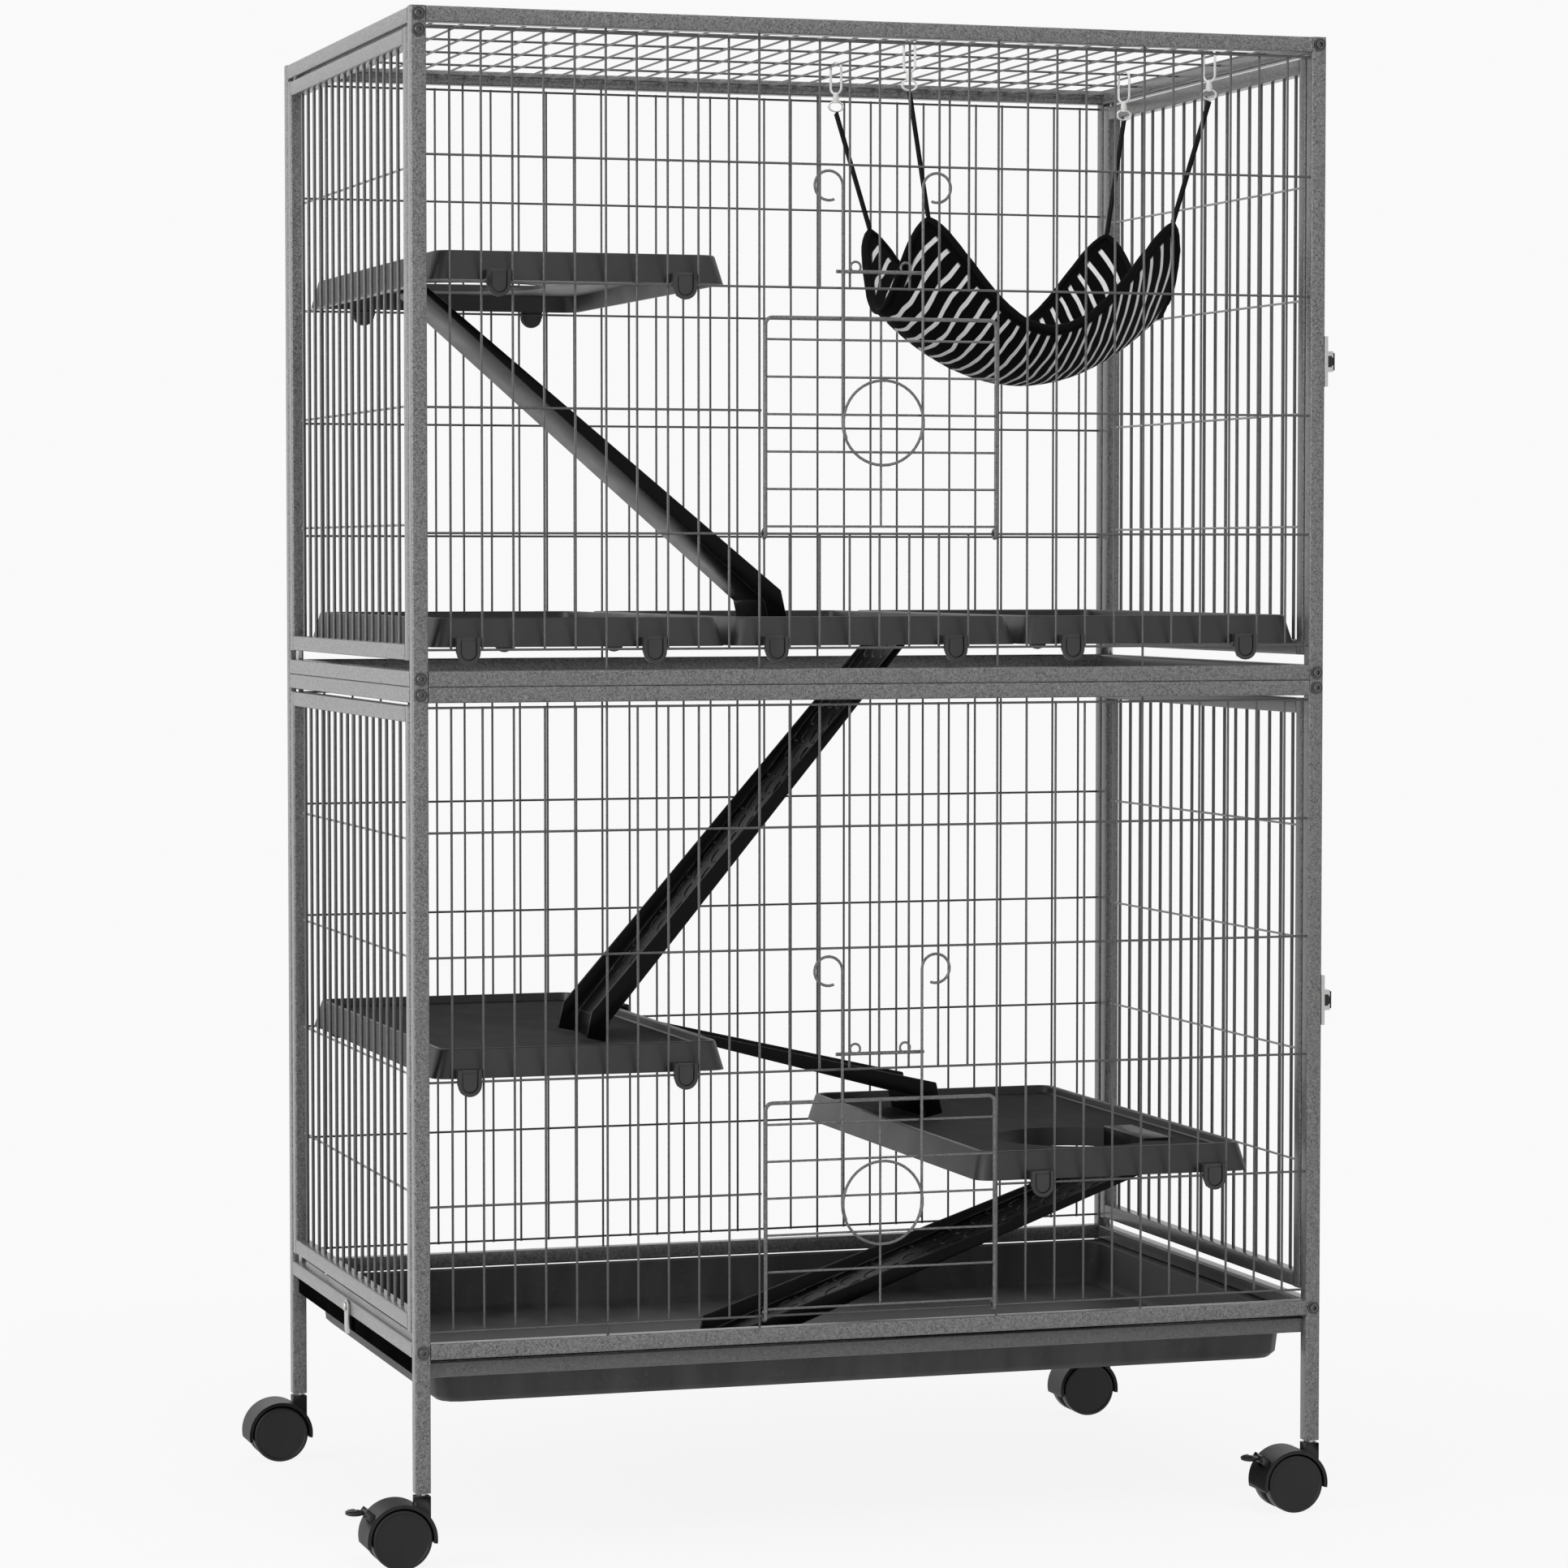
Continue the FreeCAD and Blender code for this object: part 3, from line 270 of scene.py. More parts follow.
def flecks_group():
    """Hammered paint: worm-shaped dark flecks and the dents that go with them."""
    group, given, result = new_group("Hammered Flecks", [("Scale", 900.0)], ["Fleck", "Height", "Cloud"])
    place = add_node(group, "ShaderNodeTexCoord").outputs["Object"]
    flecks = noise(group, place, detail=1.5, roughness=0.45, distortion=1.6)
    cloud = noise(group, place, scale=14.0, detail=2.0)
    group.links.new(given.outputs["Scale"], flecks.inputs["Scale"])
    height = flecks.outputs["Fac"]
    give(group, result, Fleck=map_range(group, height, 0.41, 0.58, 0.0, 1.0), Height=height, Cloud=cloud.outputs["Fac"])
    return group


def grain_group():
    """Fine grain and scuffs of moulded plastic, and slow slanted streaks that the plastics use as painted light and
    shade.
    """
    group, given, result = new_group("Moulded Grain", [("Scale", 1500.0)], ["Grain", "Cloud", "Scuff"])
    place = add_node(group, "ShaderNodeTexCoord").outputs["Object"]
    slanted = add_node(group, "ShaderNodeMapping")
    slanted.inputs["Rotation"].default_value = (0.0, math.radians(28.0), 0.0)
    slanted.inputs["Scale"].default_value = (34.0, 16.0, 9.0)
    group.links.new(place, slanted.inputs["Vector"])
    grain = noise(group, place, detail=2.0, roughness=0.6)
    cloud = noise(group, slanted.outputs["Vector"], scale=1.0, detail=2.0)
    scuff = noise(group, place, scale=70.0, detail=4.0, distortion=2.5)
    group.links.new(given.outputs["Scale"], grain.inputs["Scale"])
    give(group, result, Grain=grain.outputs["Fac"], Cloud=cloud.outputs["Fac"],
         Scuff=map_range(group, scuff.outputs["Fac"], 0.60, 0.72, 0.0, 1.0))
    return group


def worn_and_highlit_edges_group():
    """Lighter edges from the note on the rounded faces, broken up by noise: rubbed edges, and on the ramps a painted
    highlight along the wall edges and cleat ridges.
    """
    group, given, result = new_group("Edge Wear", [("Amount", 0.5)], ["Wear"])
    edge = add_node(group, "ShaderNodeAttribute", attribute_name="Edge")
    patch = noise(group, add_node(group, "ShaderNodeTexCoord").outputs["Object"], scale=60.0, detail=3.0)
    broken = map_range(group, patch.outputs["Fac"], 0.35, 0.60, 0.35, 1.0)
    edge_patches = math_node(group, "MULTIPLY", edge.outputs["Fac"], broken)
    give(group, result, Wear=math_node(group, "MULTIPLY", edge_patches, given.outputs["Amount"]))
    return group


def weave_group():
    """Plain weave on a strap, from its own map in metres."""
    group, given, result = new_group("Plain Weave", [("Threads", 900.0)], ["Thread"])
    place = add_node(group, "ShaderNodeUVMap")
    split = add_node(group, "ShaderNodeSeparateXYZ")
    group.links.new(place.outputs["UV"], split.inputs["Vector"])
    waves = []
    for axis in ("X", "Y"):
        turn = math_node(group, "MULTIPLY", split.outputs[axis], given.outputs["Threads"])
        waves.append(math_node(group, "SINE", math_node(group, "MULTIPLY", turn, 2 * math.pi), 0.0))
    cross = math_node(group, "MULTIPLY", waves[0], waves[1])
    give(group, result, Thread=map_range(group, cross, -1.0, 1.0, 0.0, 1.0))
    return group


def use_group(tree, name, **values):
    """A shader group placed in a material."""
    makers = {"Hammered Flecks": flecks_group, "Moulded Grain": grain_group, "Edge Wear": worn_and_highlit_edges_group,
              "Plain Weave": weave_group}
    node = add_node(tree, "ShaderNodeGroup")
    node.node_tree = bpy.data.node_groups.get(name) or makers[name]()
    for key, value in values.items():
        node.inputs[key.title()].default_value = value
    return node


def mix_colour(tree, factor, first, second):
    """Two colours mixed by a mask; each is a socket or three numbers."""
    node = add_node(tree, "ShaderNodeMix", data_type="RGBA")
    tree.links.new(factor, node.inputs[0])
    for socket, value in zip((node.inputs[6], node.inputs[7]), (first, second)):
        if isinstance(value, bpy.types.NodeSocket):
            tree.links.new(value, socket)
        else:
            socket.default_value = (*value, 1.0)
    return node.outputs[2]


def bump(tree, shader, height, strength, distance):
    """Relief from a height, in metres."""
    node = add_node(tree, "ShaderNodeBump", strength=strength, distance=distance)
    tree.links.new(height, node.inputs["Height"])
    tree.links.new(node.outputs["Normal"], shader.inputs["Normal"])


def start_material(name):
    """A new material with its tree and its shader."""
    material = bpy.data.materials.new(name)
    material.use_nodes = True
    tree = material.node_tree
    return material, tree, tree.nodes["Principled BSDF"]


def dress(tree, shader, base, rough, specular=0.5):
    """Gives a shader its colour, roughness and gloss."""
    tree.links.new(base, shader.inputs["Base Color"])
    tree.links.new(rough, shader.inputs["Roughness"])
    shader.inputs["Specular IOR Level"].default_value = specular


def blend_shaders(tree, share, first, second, end):
    """Mixes two shaders by a share and joins them to the output."""
    node = add_node(tree, "ShaderNodeMixShader")
    for socket, value in zip(node.inputs, (share, first.outputs[0], second.outputs[0])):
        tree.links.new(value, socket)
    tree.links.new(node.outputs[0], tree.nodes[end].inputs["Surface"])


def lighter(tone, factor):
    """A colour with its brightness multiplied."""
    return tuple(min(1.0, part * factor) for part in tone)


def hammered_paint(name, light, dark, scale):
    """Grey paint with dark flecks, dents and rubbed edges."""
    material, tree, shader = start_material(name)
    flecks = use_group(tree, "Hammered Flecks", scale=scale)
    edge_marks = use_group(tree, "Edge Wear", amount=0.4)
    base = mix_colour(tree, flecks.outputs["Fleck"], dark, light)
    cloud = map_range(tree, flecks.outputs["Cloud"], 0.3, 0.7, 0.0, 0.12)
    base = mix_colour(tree, cloud, base, lighter(light, 0.7))
    base = mix_colour(tree, edge_marks.outputs["Wear"], base, lighter(light, 1.6))
    dress(tree, shader, base, map_range(tree, flecks.outputs["Fleck"], 0.0, 1.0, 0.30, 0.25), 0.55)
    bump(tree, shader, flecks.outputs["Height"], 0.15, 0.0002)
    return material


def moulded_plastic(name, tone, rough, specular, grain=0.2):
    """Plastic from a mould: fine grain, slanted streaks of painted light and shade, faint scuffs, and rubbed edges that
    on the ramps are a painted highlight.
    """
    material, tree, shader = start_material(name)
    parts = use_group(tree, "Moulded Grain", scale=1700.0)
    edge_marks = use_group(tree, "Edge Wear", amount=0.7)
    # Slanted streaks, lighter and darker across the surface: painted light and shade like the bands on the shelf
    # skirts.
    cloud = map_range(tree, parts.outputs["Cloud"], 0.35, 0.65, 0.0, 1.0)
    base = mix_colour(tree, cloud, lighter(tone, 0.75), lighter(tone, 1.4))
    scuff = math_node(tree, "MULTIPLY", parts.outputs["Scuff"], 0.3)
    base = mix_colour(tree, scuff, base, lighter(tone, 2.0))
    # Lighter colour on noted edges: rubbed plastic, and on the ramps a painted highlight along the wall edges and cleat
    # ridges.
    base = mix_colour(tree, edge_marks.outputs["Wear"], base, colours().rubbed_and_highlit_plastic)
    varied = map_range(tree, parts.outputs["Cloud"], 0.3, 0.7, rough - 0.05, rough + 0.06)
    dress(tree, shader, base, varied, specular)
    bump(tree, shader, parts.outputs["Grain"], grain, 0.0002)
    return material


def plated_steel(name, tone):
    """Bright zinc plating with fine drawn lines and cloudy roughness."""
    material, tree, shader = start_material(name)
    parts = use_group(tree, "Moulded Grain", scale=2200.0)
    edge_marks = use_group(tree, "Edge Wear", amount=0.6)
    cloud = map_range(tree, parts.outputs["Cloud"], 0.3, 0.7, 0.0, 1.0)
    base = mix_colour(tree, cloud, lighter(tone, 0.8), tone)
    base = mix_colour(tree, edge_marks.outputs["Wear"], base, lighter(tone, 1.3))
    dress(tree, shader, base, map_range(tree, parts.outputs["Grain"], 0.3, 0.7, 0.28, 0.42))
    shader.inputs["Metallic"].default_value = 1.0
    bump(tree, shader, parts.outputs["Grain"], 0.08, 0.0001)
    return material


def striped_plush(name, dark, pale):
    """Short dark pile with pale wavy stripes across the sheet, slanted at one end, inside a dark hem."""
    material, tree, shader = start_material(name)
    place = add_node(tree, "ShaderNodeUVMap")
    split = add_node(tree, "ShaderNodeSeparateXYZ")
    tree.links.new(place.outputs["UV"], split.inputs["Vector"])
    sway = noise(tree, place.outputs["UV"], scale=26.0, detail=1.0)
    pile = noise(tree, place.outputs["UV"], scale=1400.0, detail=2.0)
    along = split.outputs["X"]
    across = split.outputs["Y"]
    slant = math_node(tree, "MULTIPLY", map_range(tree, along, 0.02, -0.10, 0.0, BACK_SLANT),
                      math_node(tree, "MAXIMUM", across, 0.0))
    front = math_node(tree, "MULTIPLY", math_node(tree, "MINIMUM", across, 0.0), FRONT_SLANT)
    run = math_node(tree, "ADD", math_node(tree, "SUBTRACT", along, slant), front)
    run = math_node(tree, "ADD", run, map_range(tree, sway.outputs["Fac"], 0.2, 0.8, -STRIPE_SWAY, STRIPE_SWAY))
    turn = math_node(tree, "SINE", math_node(tree, "MULTIPLY", run, 2 * math.pi / STRIPE_PITCH), 0.0)
    band = map_range(tree, turn, 0.57, 0.72, 0.0, 1.0)
    for way, whole in zip((along, across), CAGE_OT_hammock.flat):
        off = math_node(tree, "SUBTRACT", whole / 2, math_node(tree, "ABSOLUTE", way, 0.0))
        band = math_node(tree, "MULTIPLY", band, map_range(tree, off, *HEM, 0.0, 1.0))
    ragged = map_range(tree, pile.outputs["Fac"], 0.3, 0.7, 0.8, 1.0)
    mask = math_node(tree, "MULTIPLY", band, ragged)
    rough = map_range(tree, pile.outputs["Fac"], 0.3, 0.7, 0.85, 1.0)
    dress(tree, shader, mix_colour(tree, mask, dark, pale), rough, 0.06)
    shader.inputs["Sheen Weight"].default_value = 0.02
    bump(tree, shader, pile.outputs["Fac"], 0.5, 0.0008)
    return material


def woven_tape(name, tone):
    """Webbing and binding tape with a plain weave."""
    material, tree, shader = start_material(name)
    weave = use_group(tree, "Plain Weave", threads=650.0)
    base = mix_colour(tree, weave.outputs["Thread"], lighter(tone, 0.6), lighter(tone, 1.6))
    dress(tree, shader, base, map_range(tree, weave.outputs["Thread"], 0.0, 1.0, 0.9, 0.75), 0.08)
    bump(tree, shader, weave.outputs["Thread"], 0.4, 0.0003)
    return material


def clear_plastic(name, tone):
    """Milky clear plastic of the snap hooks."""
    material, tree, shader = start_material(name)
    parts = use_group(tree, "Moulded Grain", scale=900.0)
    cloud = map_range(tree, parts.outputs["Cloud"], 0.3, 0.7, 0.0, 1.0)
    base = mix_colour(tree, cloud, lighter(tone, 0.85), tone)
    dress(tree, shader, base, map_range(tree, parts.outputs["Grain"], 0.3, 0.7, 0.2, 0.34))
    shader.inputs["Subsurface Weight"].default_value = 0.2
    shader.inputs["Subsurface Radius"].default_value = (0.002, 0.002, 0.002)
    return material


def finish(name):
    """One of the cage's finishes, made when it is first asked for."""
    title = name.replace("_", " ").title()
    found = bpy.data.materials.get(title)
    if found:
        return found
    tone = colours()
    paints = {
        "frame_paint": (tone.frame_paint, tone.frame_fleck, 740.0),
        "wire_paint": (tone.wire_paint, lighter(tone.wire_paint, 0.4), 800.0),
        "door_paint": (tone.door_paint, lighter(tone.door_paint, 0.35), 640.0),
        # The runners take the frame paint at half brightness: painted shade from the base rail above them.
        "runner_paint": (lighter(tone.frame_paint, 0.5), tone.frame_fleck, 740.0),
        # The cross wires take the frame paint made lighter: a painted highlight of the key light on them.
        "cross_paint": (lighter(tone.frame_paint, 1.6), tone.frame_paint, 640.0),
    }
    if name in paints:
        return hammered_paint(title, *paints[name])
    plastics = {
        "shelf_plastic": (tone.shelf_plastic, 0.40, 0.5),
        "deck_plastic": (lighter(tone.shelf_plastic, 1.9), 0.85, 0.1, 0.6),
        "ramp_plastic": (tone.ramp_plastic, 0.30, 0.1),
        # Near-black plastic without gloss: painted shadow on the tray's end lips under the base rails.
        "shaded_plastic": (tone.ramp_plastic, 0.90, 0.0),
        "tray_plastic": (tone.tray_plastic, 0.45, 0.25),
        "caster_plastic": (tone.caster_plastic, 0.42, 0.3),
    }
    if name in plastics:
        return moulded_plastic(title, *plastics[name])
    others = {
        "bright_steel": (plated_steel, tone.steel),
        "dark_steel": (plated_steel, lighter(tone.steel, 0.22)),
        "hammock_cloth": (striped_plush, tone.cloth, tone.stripe),
        "strap_webbing": (woven_tape, tone.webbing),
        "hook_plastic": (clear_plastic, tone.hook),
    }
    maker, *tones = others[name]
    return maker(title, *tones)


# Mesh parts

def new_object(name, data):
    """An object in the scene."""
    item = bpy.data.objects.new(name, data)
    bpy.context.scene.collection.objects.link(item)
    return item


def keep(bm, name, look, body, replaces=(), smooth=38.0, second=None):
    """Makes a bmesh a piece that rides on a body and stands for CAD nodes; a second finish is for marked faces."""
    bmesh.ops.recalc_face_normals(bm, faces=bm.faces)
    mesh = bpy.data.meshes.new(name)
    bm.to_mesh(mesh)
    bm.free()
    if not mesh.polygons:
        raise RuntimeError("no faces were made for " + name)
    mesh.polygons.foreach_set("use_smooth", [True] * len(mesh.polygons))
    mesh.set_sharp_from_angle(angle=math.radians(smooth))
    piece = new_object(name, mesh)
    for part in (look, second):
        if part:
            mesh.materials.append(finish(part))
    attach(piece, body)
    if replaces:
        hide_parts(*replaces)
    return piece


def join(bm, part):
    """Adds one bmesh to another and frees it."""
    mesh = bpy.data.meshes.new("part")
    bmesh.ops.recalc_face_normals(part, faces=part.faces)
    part.to_mesh(mesh)
    part.free()
    bm.from_mesh(mesh)
    bpy.data.meshes.remove(mesh)


def points_of(edges):
    """The corners of some edges, each once."""
    return list(dict.fromkeys(v for e in edges for v in e.verts))


def edges_of(verts):
    """The edges at some corners, each once."""
    return list(dict.fromkeys(e for v in verts for e in v.link_edges))


def of_kind(geom, kind):
    """The corners, the edges or the faces among made parts."""
    return [g for g in geom if isinstance(g, kind)]


def add_box(bm, middle, size):
    """A plain box about its middle."""
    bmesh.ops.create_cube(bm, size=1.0, matrix=Matrix.Translation(middle) @ Matrix.Diagonal((*size, 1.0)))


def round_edges(bm, edges, offset, segments, clamp=False):
    """Rounds edges and gives the new faces."""
    return bmesh.ops.bevel(bm, geom=edges, offset=offset, offset_type="OFFSET", affect="EDGES", segments=segments,
                           profile=0.5, material=-1, clamp_overlap=clamp)["faces"]


def sink(bm, face, margin, vector):
    """Insets a face and moves it along a vector."""
    bmesh.ops.inset_region(bm, faces=[face], thickness=margin, use_even_offset=True)
    moved = bmesh.ops.extrude_discrete_faces(bm, faces=[face])["faces"][0]
    bmesh.ops.translate(bm, verts=moved.verts, vec=vector)
    return moved


def pull(bm, faces, vector):
    """Draws faces out along a vector and gives the moved corners and faces."""
    made = bmesh.ops.extrude_face_region(bm, geom=faces)["geom"]
    verts = of_kind(made, bmesh.types.BMVert)
    bmesh.ops.translate(bm, verts=verts, vec=vector)
    return verts, of_kind(made, bmesh.types.BMFace)


def draw_in(bm, verts, middle, half, inset, step):
    """Draws corners that lie inset from a box further in by a step on every side."""
    shares = [(side - inset - step) / (side - inset) for side in half.xy]
    bmesh.ops.scale(bm, vec=(*shares, 1), space=Matrix.Translation(-middle), verts=verts)


def cad_copy(node):
    """A merged copy of a CAD node with whole flat faces."""
    bm = bmesh.new()
    bm.from_mesh(NODES[node].data)
    bmesh.ops.remove_doubles(bm, verts=bm.verts, dist=MERGE)
    bmesh.ops.dissolve_limit(bm, angle_limit=math.radians(0.5), verts=bm.verts, edges=bm.edges)
    return bm


def soften(bm, offset, angle=35.0):
    """Rounds the edges that turn by more than an angle."""
    sharp = [e for e in bm.edges if len(e.link_faces) == 2 and e.calc_face_angle() > math.radians(angle)]
    note_edges(bm, round_edges(bm, sharp, offset, 2, clamp=True))


def soft_copy(node, name, look, body, offset, angle=35.0):
    """A CAD node with soft edges, as a piece."""
    bm = cad_copy(node)
    soften(bm, offset, angle)
    return keep(bm, name, look, body, replaces=[node])


def note_edges(bm, faces):
    """Notes the corners that lie within rounded faces, where a finish is rubbed; on the ramps the same note paints a
    highlight.
    """
    layer = bm.verts.layers.float.get("Edge") or bm.verts.layers.float.new("Edge")
    rounded = set(faces)
    for vert in dict.fromkeys(v for f in faces for v in f.verts):
        if all(face in rounded for face in vert.link_faces):
            vert[layer] = 1.0


def solid_boxes(node):
    """The lowest and highest corners of each solid in a CAD node, without the inner skins of hollow ones."""
    bm = bmesh.new()
    bm.from_mesh(NODES[node].data)
    bmesh.ops.remove_doubles(bm, verts=bm.verts, dist=MERGE)
    bm.faces.ensure_lookup_table()
    seen = [False] * len(bm.faces)
    boxes = []
    for first in bm.faces:
        if seen[first.index]:
            continue
        seen[first.index] = True
        stack = [first]
        places = []
        while stack:
            face = stack.pop()
            places += [vert.co.copy() for vert in face.verts]
            for edge in face.edges:
                for other in edge.link_faces:
                    if len(edge.link_faces) == 2 and not seen[other.index]:
                        seen[other.index] = True
                        stack.append(other)
        boxes.append(tuple(Vector([pick(p[i] for p in places) for i in range(3)]) for pick in (min, max)))
    bm.free()
    return [box for box in boxes if not any(inside(box, other) for other in boxes)]


def inside(box, other):
    """Whether a box is the inner skin of another, one wall away on every side."""
    gaps = [gap for i in range(3) for gap in (box[0][i] - other[0][i], other[1][i] - box[1][i])]
    return min(gaps) > MERGE and max(gaps) < 2 * sizes().tube_wall


def aligned(place, heading):
    """A matrix that puts the local Z axis along a heading at a place."""
    return Matrix.Translation(place) @ heading.to_track_quat("Z", "Y").to_matrix().to_4x4()


def add_rod(bm, start, end, radius, facets):
    """A round straight wire with closed ends."""
    run = end - start
    bmesh.ops.create_cone(bm, cap_ends=True, segments=facets, radius1=radius, radius2=radius, depth=run.length,
                          matrix=aligned((start + end) / 2, run))


def box_axis(low, high):
    """The index of a box's longest side, and its middle."""
    size = high - low
    return max(range(3), key=lambda i: size[i]), (low + high) / 2


def add_wire_in_box(bm, low, high):
    """A round wire in place of a straight CAD one."""
    axis, middle = box_axis(low, high)
    radius = min((high - low)[i] for i in range(3) if i != axis) / 2
    start = middle.copy()
    end = middle.copy()
    start[axis] = low[axis]
    end[axis] = high[axis]
    add_rod(bm, start, end, radius, sizes().facets)


def add_tube_in_box(bm, low, high):
    """A hollow square tube with rounded long edges in place of a CAD one."""
    size = sizes()
    axis, middle = box_axis(low, high)
    part = bmesh.new()
    add_box(part, middle, high - low)
    long_edges = [e for e in part.edges if abs((e.verts[0].co - e.verts[1].co)[axis]) > size.tube_wall]
    rounded = round_edges(part, long_edges, size.tube_corner, 4)
    note_edges(part, [f for f in rounded if len(f.verts) == 4])
    part.normal_update()
    for face in [f for f in part.faces if abs(f.normal[axis]) > 0.9]:
        sink(part, face, size.tube_wall, face.normal * -size.tube_depth)
    join(bm, part)


def new_ring(bm, place, heading, radius, facets):
    """The closed first end of a bent wire; gives its ring of edges."""
    made = bmesh.ops.create_circle(bm, cap_ends=True, segments=facets, radius=radius, matrix=aligned(place, heading))
    return edges_of(made["verts"])


def run_on(bm, ring, vector):
    """Draws a ring straight on along a vector."""
    made = bmesh.ops.extrude_edge_only(bm, edges=ring)["geom"]
    verts = of_kind(made, bmesh.types.BMVert)
    bmesh.ops.translate(bm, verts=verts, vec=vector)
    fresh = set(verts)
    return [e for e in of_kind(made, bmesh.types.BMEdge) if e.verts[0] in fresh and e.verts[1] in fresh]


def turn_on(bm, ring, centre, axis, degrees, step=15.0):
    """Bends a ring on about an axis."""
    made = bmesh.ops.spin(bm, geom=points_of(ring) + ring, cent=centre, axis=axis, dvec=(0, 0, 0),
                          angle=math.radians(degrees), steps=max(2, round(degrees / step)), use_merge=False)
    return of_kind(made["geom_last"], bmesh.types.BMEdge)


def close_ring(bm, ring):
    """Closes the last end of a bent wire."""
    bmesh.ops.contextual_create(bm, geom=ring)


def sweep_round(bm, line, radius, facets):
    """A round edge along a closed line of points."""
    count = len(line)
    headings = [(line[(i + 1) % count] - line[i - 1]).normalized() for i in range(count)]
    made = bmesh.ops.create_circle(bm, cap_ends=False, segments=facets, radius=radius,
                                   matrix=aligned(line[0], headings[0]))
    first = edges_of(made["verts"])
    ring = first
    for i in range(1, count):
        ring = run_on(bm, ring, Vector((0, 0, 0)))
        bend = headings[i - 1].rotation_difference(headings[i]).to_matrix().to_4x4()
        move = Matrix.Translation(line[i]) @ bend @ Matrix.Translation(-line[i - 1])
        bmesh.ops.transform(bm, matrix=move, verts=points_of(ring))
    bmesh.ops.bridge_loops(bm, edges=first + ring)


def lathe(bm, profile, centre, axis, steps):
    """Turns a profile of (radius, height) pairs about an axis."""
    turn = aligned(centre, axis)
    verts = [bm.verts.new(turn @ Vector((radius, 0, height))) for radius, height in profile]
    edges = [bm.edges.new(pair) for pair in zip(verts, verts[1:])]
    bmesh.ops.spin(bm, geom=verts + edges, cent=centre, axis=axis, dvec=(0, 0, 0), angle=2 * math.pi, steps=steps,
                   use_merge=True)
    bmesh.ops.remove_doubles(bm, verts=bm.verts, dist=MERGE)


class CAGE_OT_frame(Operator):
    """Frame of square tubes: posts, rails and runners, with their end caps"""

    bl_idname = "cage.frame"
    bl_label = "Frame"

    def execute(self, context):
        nodes = ["post_" + corner for corner in CORNERS]
        nodes += ["top_rails", "mid_upper_rails", "mid_lower_rails", "base_rails", "tray_runners"]
        for node in nodes:
            bm = bmesh.new()
            for low, high in solid_boxes(node):
                add_tube_in_box(bm, low, high)
            # The runners get a darker copy of the frame paint: painted shade where the base rail overhangs them.
            look = "runner_paint" if node == "tray_runners" else "frame_paint"
            keep(bm, node + "_tubes", look, CAGE, replaces=[node])
        soft_copy("post_caps", "post_end_caps", "shelf_plastic", CAGE, CAP_EDGE)
        return {"FINISHED"}


class CAGE_OT_wire_walls(Operator):
    """Round wires of the front, back and roof"""

    bl_idname = "cage.wire_walls"
    bl_label = "Wire Walls"

    def execute(self, context):
        for node in ("front_upper_panel", "front_lower_panel", "rear_upper_panel", "rear_lower_panel", "top_panel"):
            bm = bmesh.new()
            for low, high in solid_boxes(node):
                add_wire_in_box(bm, low, high)
            keep(bm, node + "_wires", "wire_paint", CAGE, replaces=[node])
        return {"FINISHED"}


class CAGE_OT_sides(Operator):
    """Framed side panels and side doors, with their pins"""

    bl_idname = "cage.sides"
    bl_label = "Side Panels and Doors"

    def execute(self, context):
        places = {"left_upper_panel": CAGE, "left_lower_panel": CAGE, "right_upper_door": "right_upper_door",
                  "right_lower_door": "right_lower_door"}
        for node, body in places.items():
            tubes = bmesh.new()
            bars = bmesh.new()
            cross = bmesh.new()
            for low, high in solid_boxes(node):
                if sorted(high - low)[1] > 2 * sizes().door_wire:
                    add_tube_in_box(tubes, low, high)
                else:
                    add_wire_in_box(bars if box_axis(low, high)[0] == 2 else cross, low, high)
            keep(tubes, node + "_frame", "frame_paint", body, replaces=[node])
            keep(bars, node + "_bars", "wire_paint", body)
            # Cross wires get a lighter copy of the frame paint: a painted highlight from the key light.
            keep(cross, node + "_cross_wires", "cross_paint", body)
        pins = {"left_panel_pins": CAGE, "right_upper_door_pins": "right_upper_door",
                "right_lower_door_pins": "right_lower_door"}
        for node, body in pins.items():
            soft_copy(node, node + "_turned", "bright_steel", body, FINE_EDGE)
        return {"FINISHED"}


def door_frame(bm, hinge):
    """A bent frame wire with an eye round the hinge wire at each foot."""
    size = sizes()
    half = size.door_half
    bend = size.door_corner
    eye = size.loop_radius
    left = hinge - RIGHT * half
    right = hinge + RIGHT * half
    slant = (UP - BACK).normalized()
    start = left + slant * eye
    ring = new_ring(bm, start, RIGHT.cross(-slant), size.door_wire / 2, size.facets)
    ring = turn_on(bm, ring, left, -RIGHT, LOOP_TURN, LOOP_STEP)
    rise = UP * (size.door_height - bend)
    ring = run_on(bm, ring, rise)
    face = hinge - BACK * eye
    ring = turn_on(bm, ring, face - RIGHT * (half - bend) + rise, BACK, 90.0)
    ring = run_on(bm, ring, RIGHT * 2 * (half - bend))
    ring = turn_on(bm, ring, face + RIGHT * (half - bend) + rise, BACK, 90.0)
    ring = run_on(bm, ring, -rise)
    ring = turn_on(bm, ring, right, RIGHT, LOOP_TURN, LOOP_STEP)
    close_ring(bm, ring)


